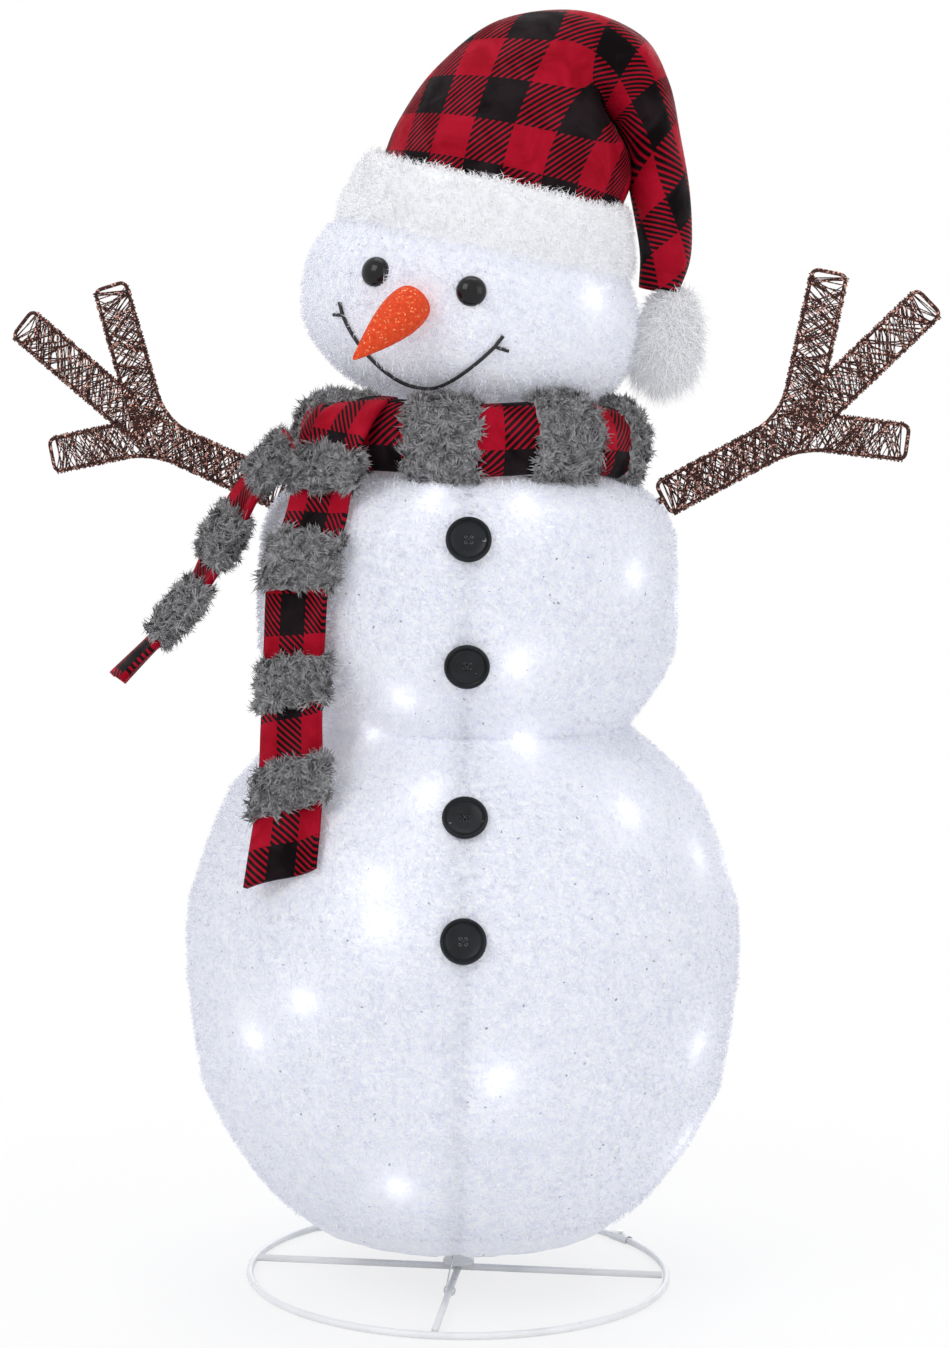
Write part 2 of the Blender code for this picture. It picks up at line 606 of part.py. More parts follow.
def buttons():
    """Four-hole coat buttons down the front, each level with a hoop."""
    for number, key in enumerate(BUTTON_HOOPS):
        height, _ = HOOPS[key]
        line = LOWER_LINE if height < WAIST_Z else MIDDLE_LINE
        across, slope = surface_at(line, height)
        inside = BUTTON_RADIUS - BUTTON_RIM
        shape = turned([(0, 0), (BUTTON_RADIUS * 0.9, 0), (BUTTON_RADIUS, BUTTON_THICK * 0.4),
                        (BUTTON_RADIUS - BUTTON_RIM / 3, BUTTON_THICK), (inside, BUTTON_THICK),
                        (inside - 0.002, BUTTON_THICK * 0.6), (0, BUTTON_THICK * 0.6)], 18, False)
        aim = Vector((0, -slope.x, slope.z)).to_track_quat("Z", "Y").to_matrix().to_4x4()
        lift = 2 * GAP + stand_off(line, across, height, slope)
        skin = Vector((0, -across, height)) + Vector((0, -slope.x, slope.z)) * lift
        seat = Matrix.Translation(skin) @ aim
        bmesh.ops.transform(shape, matrix=seat, verts=shape.verts)
        made = mesh_object("button_%d" % (number + 1), shape, black_plastic(), key)
        for corner in range(4):
            centre = round_z(BUTTON_HOLE_PITCH / math.sqrt(2), FULL_TURN * (corner + 0.5) / 4, 0)
            back, front = centre - Vector((0, 0, GAP)), centre + Vector((0, 0, BUTTON_THICK))
            combine(made, bar(seat @ back, seat @ front, BUTTON_HOLE, 6), "DIFFERENCE")


def crossing(first, first_way, second, second_way):
    """Where two lines of a drawing cross."""
    gap = second - first
    spread = first_way.x * second_way.y - first_way.y * second_way.x
    return first + first_way * ((gap.x * second_way.y - gap.y * second_way.x) / spread)


def arm_outline(inset, droop):
    """Outline of a three-branched arm, walked from the shoulder's lower corner, drawn in by an inset."""
    half = ARM_WIDTH / 2 - inset
    swing = Matrix.Rotation(-droop, 2)
    fork = ARM_SHOULDER + swing @ (ARM_FORK - ARM_SHOULDER)
    trunk_way = (fork - ARM_SHOULDER).normalized()
    trunk_side = Vector((-trunk_way.y, trunk_way.x)) * half
    start = ARM_SHOULDER + trunk_way * inset
    outline = [start - trunk_side]
    last_edge, last_way = start - trunk_side, trunk_way
    for end in ARM_TIPS:
        tip = ARM_SHOULDER + swing @ (end - ARM_SHOULDER)
        way = (tip - fork).normalized()
        side = Vector((-way.y, way.x)) * half
        tip = tip - way * inset
        outline += [crossing(last_edge, last_way, fork - side, way), tip - side, tip + side]
        last_edge, last_way = fork + side, way
    outline += [crossing(last_edge, last_way, start + trunk_side, trunk_way), start + trunk_side]
    return outline, trunk_way


def rounded(outline, radius, segments, crotches=True):
    """The outline with its corners rounded by a vertex bevel, with or without those between branches."""
    shape = bmesh.new()
    verts = [shape.verts.new((point.x, point.y, 0)) for point in outline]
    shape.faces.new(verts)
    bends = []
    for index, vert in enumerate(verts):
        into = outline[index] - outline[index - 1]
        away = outline[(index + 1) % len(outline)] - outline[index]
        if crotches or into.x * away.y > into.y * away.x:
            bends.append(vert)
    bmesh.ops.bevel(shape, geom=bends, offset=radius, offset_type="OFFSET", segments=segments, profile=0.5,
                    affect="VERTICES", material=-1)
    shape.faces.ensure_lookup_table()
    points = [loop.vert.co.to_2d() for loop in shape.faces[0].loops]
    shape.free()
    return points


def outline_tube(points, radius, sides):
    """A wire bent round a closed flat outline in X-Y, mitred at each bend."""
    shape = bmesh.new()
    rows = []
    for index, place in enumerate(points):
        into = (place - points[index - 1]).normalized()
        away = (points[(index + 1) % len(points)] - place).normalized()
        along = (into + away).normalized()
        side = Vector((-along.y, along.x)) / max(0.5, along.dot(into))
        turns = [FULL_TURN * step / sides for step in range(sides)]
        rows.append([shape.verts.new((place.x + side.x * radius * math.cos(turn),
                                      place.y + side.y * radius * math.cos(turn), radius * math.sin(turn)))
                     for turn in turns])
    for index, near in enumerate(rows):
        far = rows[(index + 1) % len(rows)]
        for step in range(sides):
            after = (step + 1) % sides
            shape.faces.new((near[step], near[after], far[after], far[step]))
    return shape


def arm_net(outline):
    """The flat plate that the winding's gaps are cut from."""
    levels = (-NET_THICKNESS / 2, NET_THICKNESS / 2)
    return loft([[Vector((point.x, point.y, level)) for point in outline] for level in levels])


def net_gaps(droop):
    """Slanted gaps between the crossing strings, in a zigzag along the trunk and each branch."""
    swing = Matrix.Rotation(-droop, 2)
    fork = swing @ (ARM_FORK - ARM_SHOULDER)
    runs = [(Vector((0, 0)), fork, NET_EDGE)]
    runs += [(fork, swing @ (tip - ARM_SHOULDER), NET_FORK_CLEAR) for tip in ARM_TIPS]
    half = ARM_WIDTH / 2 - ARM_WIRE - GAP - NET_STRAND
    gaps = bmesh.new()
    for start, end, first in runs:
        way = (end - start).normalized()
        side = Vector((-way.y, way.x)) * half
        count = int(((end - start).length - first - NET_EDGE) / NET_PITCH) + 1
        base = way * (NET_PITCH - NET_STRAND)
        for number in range(count):
            centre = ARM_SHOULDER + start + way * (first + NET_PITCH * number)
            lean = side if number % 2 else -side
            corners = [centre - base + lean, centre + base + lean, centre - lean]
            prism = [[gaps.verts.new((point.x, point.y, level)) for point in corners]
                     for level in (-NET_THICKNESS, NET_THICKNESS)]
            gaps.faces.new(prism[0])
            gaps.faces.new(prism[1])
            for index in range(3):
                after = (index + 1) % 3
                gaps.faces.new((prism[0][index], prism[0][after], prism[1][after], prism[1][index]))
    return gaps


def arm(side, heading, covering):
    """One plug-in arm: bent wire outline with its peg, wound net, and the sleeve that takes the peg."""
    body = "arm_" + side
    upright = Matrix.Rotation(heading, 4, "Z") @ Matrix.Rotation(math.pi / 2, 4, "X")
    outline, way = arm_outline(0.0, ARM_DROOP[side])
    frame_shape = outline_tube(rounded(outline, ARM_TIP_ROUND, 2), ARM_WIRE, WIRE_SIDES)
    bmesh.ops.transform(frame_shape, matrix=upright, verts=frame_shape.verts)
    twig = finish("copper_brown_string", (0.075, 0.032, 0.024), 0.45)

    def along(distance):
        """A point on the peg's axis, out from the shoulder end."""
        return upright @ (ARM_SHOULDER + way * distance).to_3d()

    made = mesh_object(body + "_frame", frame_shape, twig, body)
    combine(made, bar(along(-PEG_LENGTH), along(0.0), PEG_RADIUS), "UNION")
    net_outline, _ = arm_outline(ARM_WIRE + GAP, ARM_DROOP[side])
    net = arm_net(rounded(net_outline, ARM_TIP_ROUND, 1, crotches=False))
    gaps = net_gaps(ARM_DROOP[side])
    for shape in (net, gaps):
        bmesh.ops.transform(shape, matrix=upright, verts=shape.verts)
    combine(mesh_object(body + "_winding", net, twig, body), gaps, "DIFFERENCE")
    bore = PEG_RADIUS / math.cos(math.pi / TUBE_SIDES) + GAP
    length = PEG_LENGTH - SLEEVE_START
    profile = [(bore, length), (bore + ARM_SLEEVE_WALL, length), (bore + ARM_SLEEVE_WALL, 0), (bore, 0)]
    sleeve = turned(profile, 12, True)
    aim = (along(1) - along(0)).to_track_quat("Z", "Y").to_matrix().to_4x4()
    bmesh.ops.transform(sleeve, matrix=Matrix.Translation(along(-PEG_LENGTH)) @ aim, verts=sleeve.verts)
    holder = mesh_object("arm_sleeve_" + side, sleeve, steel(), "shoulder")
    middle = along(-(PEG_LENGTH + SLEEVE_START) / 2)
    corner = (HOOP_WIRE + 2 * GAP) / math.sqrt(2)
    seat = round_z(hoop_reach(SHOULDER_RADIUS, heading) - corner, heading, SHOULDER_Z + corner)
    axis = (along(1) - along(0)).normalized()
    square = (seat - middle) - axis * (seat - middle).dot(axis)
    start = middle + square.normalized() * (bore + ARM_SLEEVE_WALL)
    combine(holder, bar(start, seat, HOOP_WIRE, WIRE_SIDES), "UNION")
    hole = bar(along(-SLEEVE_START + PEG_RADIUS), along(PEG_RADIUS), PEG_RADIUS + PEG_HOLE_CLEARANCE)
    combine(covering, hole, "DIFFERENCE")


def oval(centre, across, up, sides):
    """Points of an ellipse about a centre with two half axes."""
    turns = [FULL_TURN * step / sides for step in range(sides)]
    return [centre + across * math.cos(turn) + up * math.sin(turn) for turn in turns]


def closed_loft(rings):
    """A body through rings that join up end to end."""
    shape = bmesh.new()
    rows = [[shape.verts.new(place) for place in ring] for ring in rings]
    for index, near in enumerate(rows):
        far = rows[(index + 1) % len(rows)]
        for step in range(len(near)):
            after = (step + 1) % len(near)
            shape.faces.new((near[step], near[after], far[after], far[step]))
    return shape


def tail(name, route):
    """A hanging scarf end: a flat band with a soft fold down its length."""
    path = smooth_path([Vector(place) for place in route], 3)
    rings = []
    for index, place in enumerate(path):
        ahead = (path[min(index + 1, len(path) - 1)] - path[max(index - 1, 0)]).normalized()
        outward = Vector((place.x, place.y, 0)).normalized()
        side = ahead.cross(outward).normalized()
        face = side.cross(ahead).normalized()
        shares = [-0.5 + step / 4 for step in range(5)]
        swell = TAIL_FOLD * index / len(path)
        folds = [swell * math.sin(FULL_TURN * share) for share in shares]
        front = [place + side * (TAIL_WIDTH * share) + face * (TAIL_THICK / 2 + fold)
                 for share, fold in zip(shares, folds)]
        back = [place + side * (TAIL_WIDTH * share) + face * (fold - TAIL_THICK / 2)
                for share, fold in zip(shares, folds)]
        rings.append(front + back[::-1])
    return mesh_object(name, loft(rings), plaid(), "mast")


def scarf():
    """Neck wrap, the fold-over at its side and the two hanging ends."""
    rings = []
    for step in range(WRAP_SIDES):
        turn = FULL_TURN * step / WRAP_SIDES
        out = round_z(1, turn, 0)
        swell = WRAP_FOLD_DEPTH * math.cos(WRAP_FOLDS * turn)
        centre = out * (WRAP_RADIUS + swell) + Vector((0, 0, WRAP_Z))
        rings.append(oval(centre, out * WRAP_HALF_THICK, Vector((0, 0, WRAP_HALF_HEIGHT)), 10))
    mesh_object("scarf_wrap", closed_loft(rings), plaid(), "mast")
    knot = bmesh.new()
    bmesh.ops.create_uvsphere(knot, u_segments=14, v_segments=9, radius=1.0)
    across, thick, tall = KNOT_HALF
    reach = WRAP_RADIUS + WRAP_FOLD_DEPTH + WRAP_HALF_THICK + GAP + thick - KNOT_SET_IN
    aim = Matrix.Translation(round_z(reach, KNOT_TURN, KNOT_Z)) @ Matrix.Rotation(KNOT_TURN, 4, "Z")
    bmesh.ops.transform(knot, matrix=aim @ Matrix.Diagonal((thick, across, tall, 1)), verts=knot.verts)
    mesh_object("scarf_knot", knot, plaid(), "mast")
    tail("scarf_front_tail", FRONT_TAIL)
    tail("scarf_side_tail", SIDE_TAIL)


HAT_PLACE = Matrix.Translation(HEAD_CENTRE) @ Matrix.Rotation(HEAD_ROLL, 4, "Y")
HEAD_PLACE = HAT_PLACE @ Matrix.Rotation(HEAD_TURN, 4, "Z")


def head_power(up):
    """How square the head's outline is at a height: round above its middle, fuller below."""
    return 2.0 if up > 0 else HEAD_JOWL


def head_radius(up):
    """Outer radius of the head at a height in its own frame."""
    power = head_power(up)
    return HEAD_RADIUS * max(0.0, 1 - abs(up / HEAD_HALF_HEIGHT) ** power) ** (1 / power)


def head_point(turn, up, proud):
    """A point on the head's skin and the way out of it, in the head's frame. Turn 0 faces forward."""
    steep = head_power(up) - 1
    across = (head_radius(up) / HEAD_RADIUS) ** steep / HEAD_RADIUS
    climb = math.copysign(abs(up / HEAD_HALF_HEIGHT) ** steep / HEAD_HALF_HEIGHT, up)
    out = round_z(across, turn - math.pi / 2, climb).normalized()
    return round_z(head_radius(up), turn - math.pi / 2, up) + out * proud, out


def placed(name, shape, place, material):
    """A head piece, modelled in a local frame and put in place."""
    bmesh.ops.transform(shape, matrix=place, verts=shape.verts)
    return mesh_object(name, shape, material, "head")


def head_shell():
    """Head cover open at the neck, its hoop frame on a capped sleeve, and its light wire."""
    lowest = -HEAD_HALF_HEIGHT * (1 - (HEAD_OPENING / HEAD_RADIUS) ** HEAD_JOWL) ** (1 / HEAD_JOWL)
    climbs = [math.asin(lowest / HEAD_HALF_HEIGHT) * (1 - step / 5) for step in range(5)]
    climbs += [math.pi / 2 * step / 5 for step in range(5)]
    levels = [HEAD_HALF_HEIGHT * math.sin(climb) for climb in climbs]
    outer = [(head_radius(level), level) for level in levels]
    inner_radius, inner_half = HEAD_RADIUS - COVER_WALL, HEAD_HALF_HEIGHT - COVER_WALL
    inner = [(across * inner_radius / HEAD_RADIUS, level * inner_half / HEAD_HALF_HEIGHT) for across, level in outer]
    profile = [(0, HEAD_HALF_HEIGHT), *reversed(outer), *inner, (0, inner_half)]
    placed("head_cover", turned(profile, HEAD_SIDES, False), HEAD_PLACE, plush())
    bore = UPPER_RADIUS_OUT + GAP
    out = bore + HEAD_SLEEVE_WALL
    low, cap = UPPER_POLE_TOP - HEAD_SLEEVE_LENGTH, UPPER_POLE_TOP + GAP
    sleeve = turned([(0, cap + HEAD_SLEEVE_WALL), (out, cap + HEAD_SLEEVE_WALL), (out, low), (bore, low),
                     (bore, cap), (0, cap)], POLE_SIDES, False)
    frame = mesh_object("head_frame", sleeve, steel(), "head")
    hoop_radius = inner_radius - HOOP_WIRE - 3 * GAP
    hoop = turned(ring_section(hoop_radius, 0, HOOP_WIRE, WIRE_SIDES), HEAD_SIDES, True)
    bmesh.ops.transform(hoop, matrix=HEAD_PLACE, verts=hoop.verts)
    combine(frame, hoop, "UNION")
    for spoke in range(HUB_SPOKES):
        turn = FULL_TURN * spoke / HUB_SPOKES
        near = HEAD_PLACE @ round_z(bore + HEAD_SLEEVE_WALL / 2, turn, 0)
        far = HEAD_PLACE @ round_z(hoop_radius, turn, 0)
        combine(frame, bar(near, far, SPOKE_WIRE, WIRE_SIDES), "UNION")
    level = HOOP_WIRE + BULB_RADIUS + GAP
    lights = light_ring("head_lights", level, hoop_radius - BULB_RADIUS, HEAD_BULBS, "head")
    for point in lights.data.splines[0].points:
        point.co = (*(HEAD_PLACE @ point.co.to_3d()), 1.0)


def hat():
    """Fuzzy trim roll that hugs the head, the folded crown with its falling end, and the pompom."""
    seat = 3 * GAP
    hug = [(head_radius(up) + seat, up) for up in (TRIM_LOW + TRIM_HUG * step / 4 for step in range(5))]
    placed("hat_trim", turned(hug + list(TRIM_OUTER), HEAD_SIDES, True), HEAD_PLACE, plush())
    rings = []
    for (inner_x, inner_z), (outer_x, outer_z), depth in HAT_RINGS:
        near, far = Vector((inner_x, 0, inner_z)), Vector((outer_x, 0, outer_z))
        rings.append(oval((near + far) / 2, (far - near) / 2, Vector((0, depth, 0)), 20))
    placed("hat_crown", loft(rings), HAT_PLACE, plaid())
    pom = bmesh.new()
    bmesh.ops.create_uvsphere(pom, u_segments=16, v_segments=10, radius=POM_RADIUS)
    drop = HAT_RINGS[-1][0][1] - GAP - POM_RADIUS
    placed("hat_pompom", pom, HAT_PLACE @ Matrix.Translation((POM_ACROSS, 0, drop)), plush())


def face():
    """Domed eyes, carrot nose and stitched smile on the head's skin."""
    for side, across in (("left", -EYE_ACROSS), ("right", EYE_ACROSS)):
        turn = math.asin(across / head_radius(EYE_Z))
        seat, out = head_point(turn, EYE_Z, 2 * GAP - HEAD_FACET_DIP)
        climbs = [math.pi / 2 * step / 4 for step in range(4)]
        dome = [(EYE_RADIUS * math.cos(climb), EYE_DEPTH * math.sin(climb)) for climb in climbs]
        shape = turned([(0, EYE_DEPTH), *reversed(dome), (0, 0)], 16, False)
        aim = Matrix.Translation(seat) @ out.to_track_quat("Z", "Y").to_matrix().to_4x4()
        placed("eye_" + side, shape, HEAD_PLACE @ aim, black_plastic())
    way = NOSE_WAY.normalized()
    seat, out = head_point(0.0, NOSE_Z, GAP - NOSE_SET_IN)
    base = seat + out * (NOSE_RADIUS * math.sqrt(1 - way.dot(out) ** 2))
    outline = [(NOSE_RADIUS * across, NOSE_LENGTH * up) for across, up in NOSE_LINE]
    cone = turned(outline, 16, False)
    aim = Matrix.Translation(base) @ way.to_track_quat("Z", "Y").to_matrix().to_4x4()
    placed("carrot_nose", cone, HEAD_PLACE @ aim, finish("orange_felt", (0.85, 0.13, 0.03), 0.8))
    smile = []
    for step in range(-MOUTH_STEPS, MOUTH_STEPS + 1):
        share = step / MOUTH_STEPS
        drop = MOUTH_CORNER_Z - MOUTH_DIP * (1 - share ** 2)
        point, _ = head_point(MOUTH_REACH * share, drop, MOUTH_WIRE)
        smile.append(HEAD_PLACE @ point)
    wire_object("mouth_stitch", smile, MOUTH_WIRE, black_plastic(), "head")


def main():
    """Clear the scene and build the snowman from the ground up."""
    for old in list(bpy.data.objects):
        bpy.data.objects.remove(old, do_unlink=True)
    body_axis("stand", (0, 0, 0))
    body_axis("mast", (0, 0, LOWER_POLE_TOP))
    body_axis("head", (0, 0, UPPER_POLE_TOP))
    for key, (height, _) in HOOPS.items():
        body_axis(key, (0, 0, height))
    for side, heading in ARM_TURNS.items():
        body_axis("arm_" + side, round_z(ARM_SHOULDER.x, heading, ARM_SHOULDER.y))
    ring_stand()
    pole()
    chain()
    hoops()
    cover("lower_body_cover", LOWER_LINE, 2)
    middle = cover("middle_body_cover", MIDDLE_LINE, 2)
    buttons()
    for side, heading in ARM_TURNS.items():
        arm(side, heading, middle)
    scarf()
    head_shell()
    hat()
    face()


main()
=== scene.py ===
"""Looks of a lit pop-up yard snowman: plush, check velvet, curly fur, wound twigs and a painted stand.

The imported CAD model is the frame. Every class below dresses one sub-assembly of it, in metres, +Z up,
with the snowman facing -Y. Soft pieces replace their CAD solids and keep to the same named sizes.
"""

import logging
import math
from dataclasses import dataclass, field
from enum import Enum
from typing import Callable, Iterable, Sequence

import bmesh
import bpy
import numpy as np
from mathutils import Matrix, Vector, noise

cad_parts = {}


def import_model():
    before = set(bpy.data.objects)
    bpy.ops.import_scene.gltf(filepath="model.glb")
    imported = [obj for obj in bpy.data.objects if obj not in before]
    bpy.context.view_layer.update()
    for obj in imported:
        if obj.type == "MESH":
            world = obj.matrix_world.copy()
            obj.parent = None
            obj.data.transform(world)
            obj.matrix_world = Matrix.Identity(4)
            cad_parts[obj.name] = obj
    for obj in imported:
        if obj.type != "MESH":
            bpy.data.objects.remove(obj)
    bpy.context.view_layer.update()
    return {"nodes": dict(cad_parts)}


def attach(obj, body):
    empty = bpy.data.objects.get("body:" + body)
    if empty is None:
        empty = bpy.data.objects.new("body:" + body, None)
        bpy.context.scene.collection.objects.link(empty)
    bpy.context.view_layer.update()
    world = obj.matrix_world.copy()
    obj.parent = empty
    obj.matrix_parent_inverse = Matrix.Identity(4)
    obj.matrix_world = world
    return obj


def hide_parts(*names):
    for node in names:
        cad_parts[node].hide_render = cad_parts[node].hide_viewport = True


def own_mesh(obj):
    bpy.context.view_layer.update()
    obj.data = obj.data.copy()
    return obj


LOG = logging.getLogger("snowman")
NOISE_SEED = 11
FULL_TURN = 2.0 * math.pi
UP = Vector((0.0, 0.0, 1.0))
ORDER = Vector((0.7548, 0.5698, 0.3247))
WEAVE_MAP = "weave"
GLOW = "glow"
BOTTOM_Z = 0.085
WAIST_Z = 0.671
CELL_ACROSS = 0.0305
CELL_ALONG = 0.047
CORE_LEVEL = 0.42
CORE_REACH = 0.0135
HALO_LEVEL = 0.13
HALO_REACH = 0.042


class Slot(Enum):
    """Material slots of the record that the finishes are listed under."""

    PAINT = "white_paint"
    STEEL = "zinc_steel"
    PLUSH = "white_plush"
    PLASTIC = "black_plastic"
    LIGHT = "light_wire"
    STRING = "brown_string"
    PLAID = "plaid_velvet"
    FELT = "orange_felt"
    THREAD = "black_thread"


Colour = tuple[float, float, float]
RED: Colour = (0.31, 0.002, 0.012)
Value = float | tuple | bpy.types.NodeSocket
Weave = Callable[[float, float], tuple[float, float]]


class Graph:
    """Nodes of one shader tree, added and linked by short calls."""

    def __init__(self, tree: bpy.types.NodeTree) -> None:
        """Keep the tree that nodes go into."""
        self.tree = tree

    def add(self, kind: str, **settings: object) -> bpy.types.Node:
        """Add a node.

        Args:
            kind: Blender's node type.
            settings: Properties set on the node.

        Returns:
            The new node.
        """
        node = self.tree.nodes.new(kind)
        for name, value in settings.items():
            setattr(node, name, value)
        return node

    def feed(self, socket: bpy.types.NodeSocket, value: Value) -> None:
        """Link an output into a socket, or set the socket's own value.

        Args:
            socket: What is fed.
            value: An output, a number or a colour.
        """
        if isinstance(value, bpy.types.NodeSocket):
            self.tree.links.new(value, socket)
        elif isinstance(value, tuple) and socket.type == "RGBA":
            socket.default_value = (*value[:3], 1.0)
        else:
            socket.default_value = value

    def fill(self, node: bpy.types.Node, **values: Value) -> None:
        """Feed a node's inputs by name, with spaces in their names as underscores."""
        for name, value in values.items():
            self.feed(node.inputs[name.replace("_", " ")], value)

    def math(self, operation: str, first: Value, second: Value = 0.0) -> bpy.types.NodeSocket:
        """One arithmetic step.

        Args:
            operation: Name of the Math node's operation.
            first: Left value.
            second: Right value, unused by one-sided operations.

        Returns:
            The result's socket.
        """
        node = self.add("ShaderNodeMath", operation=operation)
        self.feed(node.inputs[0], first)
        self.feed(node.inputs[1], second)
        return node.outputs[0]

    def spread(self, value: Value, low: float, high: float, start: float = 0.0,
               stop: float = 1.0) -> bpy.types.NodeSocket:
        """Map a value's range onto another, clamped.

        Args:
            value: What is mapped.
            low: Value that becomes start.
            high: Value that becomes stop.
            start: First end of the new range.
            stop: Last end of the new range.

        Returns:
            The mapped value's socket.
        """
        node = self.add("ShaderNodeMapRange")
        for socket, given in zip(node.inputs, (value, low, high, start, stop)):
            self.feed(socket, given)
        return node.outputs[0]

    def mix(self, factor: Value, first: Value, second: Value) -> bpy.types.NodeSocket:
        """Mix two colours.

        Args:
            factor: Share of the second colour.
            first: Colour at 0.
            second: Colour at 1.

        Returns:
            The mixed colour's socket.
        """
        node = self.add("ShaderNodeMix", data_type="RGBA")
        self.feed(node.inputs["Factor"], factor)
        self.feed(node.inputs[6], first)
        self.feed(node.inputs[7], second)
        return node.outputs[2]

    def noise(self, place: Value, scale: Value, detail: float = 3.0,
              distortion: float = 0.0) -> bpy.types.NodeSocket:
        """Cloudy noise.

        Args:
            place: Coordinates.
            scale: Waves in a metre.
            detail: Octaves.
            distortion: How far the clouds curl.

        Returns:
            The noise value's socket.
        """
        node = self.add("ShaderNodeTexNoise")
        self.fill(node, Vector=place, Scale=scale, Detail=detail, Distortion=distortion)
        return node.outputs["Fac"]

    def place(self) -> bpy.types.NodeSocket:
        """Object coordinates, in metres."""
        return self.add("ShaderNodeTexCoord").outputs["Object"]

    def group(self, tree: bpy.types.NodeTree, **values: Value) -> bpy.types.Node:
        """Place a shared node group.

        Args:
            tree: The group.
            values: Values or links for its inputs.

        Returns:
            The group's node.
        """
        node = self.add("ShaderNodeGroup", node_tree=tree)
        self.fill(node, **values)
        return node


Sockets = Sequence[tuple[str, str]]
GroupParts = tuple[bpy.types.NodeTree, Graph, bpy.types.bpy_prop_collection, bpy.types.bpy_prop_collection]


def new_group(name: str, inputs: Sockets, outputs: Sockets) -> GroupParts:
    """Start a shared node group.

    Args:
        name: The group's name.
        inputs: Names and socket types that come in.
        outputs: Names and socket types that go out.

    Returns:
        The tree, its graph, the input sockets by name and the output sockets by name.
    """
    tree = bpy.data.node_groups.new(name, "ShaderNodeTree")
    for label, kind in inputs:
        tree.interface.new_socket(label, in_out="INPUT", socket_type=kind)
    for label, kind in outputs:
        tree.interface.new_socket(label, in_out="OUTPUT", socket_type=kind)
    graph = Graph(tree)
    entry = graph.add("NodeGroupInput")
    leave = graph.add("NodeGroupOutput")
    return tree, graph, entry.outputs, leave.inputs


FLOAT = "NodeSocketFloat"
VECTOR = "NodeSocketVector"


class SharedGroups:
    """Shader node groups that several finishes use, each built once."""

    def __init__(self) -> None:
        """Build every group."""
        self.pile = self._pile()
        self.check = self._check()
        self.glitter = self._glitter()

    @staticmethod
    def _pile() -> bpy.types.NodeTree:
        """Short pile: fine curls in loose clumps, as a height and a tone.

        Returns:
            The group.
        """
        tree, graph, entry, leave = new_group(
            "Pile", (("Vector", VECTOR), ("Fineness", FLOAT), ("Clump", FLOAT)),
            (("Height", FLOAT), ("Tone", FLOAT)))
        fine = graph.noise(entry["Vector"], entry["Fineness"], 4.0, 1.2)
        clump = graph.noise(entry["Vector"], entry["Clump"], 2.0)
        both = graph.math("ADD", graph.math("MULTIPLY", fine, 0.65), graph.math("MULTIPLY", clump, 0.35))
        graph.feed(leave["Height"], both)
        graph.feed(leave["Tone"], graph.spread(both, 0.36, 0.62))
        return tree

    @staticmethod
    def _check() -> bpy.types.NodeTree:
        """Two-colour check cloth: plain squares where stripes agree, diagonal twill where they cross.

        Returns:
            The group.
        """
        tree, graph, entry, leave = new_group(
            "Check Cloth", (("Weave", VECTOR), ("Across", FLOAT), ("Along", FLOAT), ("Twill", FLOAT)),
            (("Dark", FLOAT), ("Height", FLOAT)))
        split = graph.add("ShaderNodeSeparateXYZ")
        graph.feed(split.inputs[0], entry["Weave"])
        stripes = []
        for axis, cell in (("X", "Across"), ("Y", "Along")):
            count = graph.math("DIVIDE", split.outputs[axis], entry[cell])
            stripes.append(graph.math("FLOORED_MODULO", graph.math("FLOOR", count), 2.0))
        both = graph.math("ADD", *stripes)
        slant = graph.math("ADD", split.outputs["X"], split.outputs["Y"])
        turn = graph.math("FLOORED_MODULO", graph.math("DIVIDE", slant, entry["Twill"]), 1.0)
        twill = graph.spread(turn, 0.37, 0.46)
        crossed = graph.math("COMPARE", both, 1.0)
        crossed.node.inputs[2].default_value = 0.1
        full = graph.math("GREATER_THAN", both, 1.5)
        dark = graph.math("ADD", full, graph.math("MULTIPLY", crossed, twill))
        graph.feed(leave["Dark"], dark)
        thread = graph.math("SINE", graph.math("MULTIPLY", slant, 2600.0))
        graph.feed(leave["Height"], graph.math("ADD", graph.math("MULTIPLY", thread, 0.3), dark))
        return tree

    @staticmethod
    def _glitter() -> bpy.types.NodeTree:
        """Scattered bright flakes, as a mask and a random tone for each flake.

        Returns:
            The group.
        """
        tree, graph, entry, leave = new_group(
            "Glitter", (("Vector", VECTOR), ("Fineness", FLOAT), ("Share", FLOAT)),
            (("Flake", FLOAT), ("Tone", FLOAT)))
        cells = graph.add("ShaderNodeTexVoronoi")
        graph.fill(cells, Vector=entry["Vector"], Scale=entry["Fineness"])
        split = graph.add("ShaderNodeSeparateColor")
        graph.feed(split.inputs[0], cells.outputs["Color"])
        graph.feed(leave["Flake"], graph.math("LESS_THAN", split.outputs["Red"], entry["Share"]))
        graph.feed(leave["Tone"], split.outputs["Green"])
        return tree


@dataclass(frozen=True)
class Finish:
    """A named surface with one Principled shader."""

    name: str
    colour: Colour
    roughness: float

    def start(self) -> tuple[bpy.types.Material, Graph, bpy.types.Node]:
        """Make the material.

        Returns:
            The material, its graph and its Principled node.
        """
        made = bpy.data.materials.new(self.name)
        made.use_nodes = True
        shader = made.node_tree.nodes["Principled BSDF"]
        graph = Graph(made.node_tree)
        graph.fill(shader, Base_Color=self.colour, Roughness=self.roughness)
        return made, graph, shader

    @staticmethod
    def bump(graph: Graph, shader: bpy.types.Node, height: Value, distance: float, strength: float) -> None:
        """Feed a height into the shader's normal.

        Args:
            graph: The material's graph.
            shader: Its Principled node.
            height: Height over the surface.
            distance: Metres that a height of one stands for.
            strength: Share of the effect.
        """
        node = graph.add("ShaderNodeBump")
        graph.fill(node, Strength=strength, Distance=distance, Height=height)
        graph.fill(shader, Normal=node.outputs["Normal"])


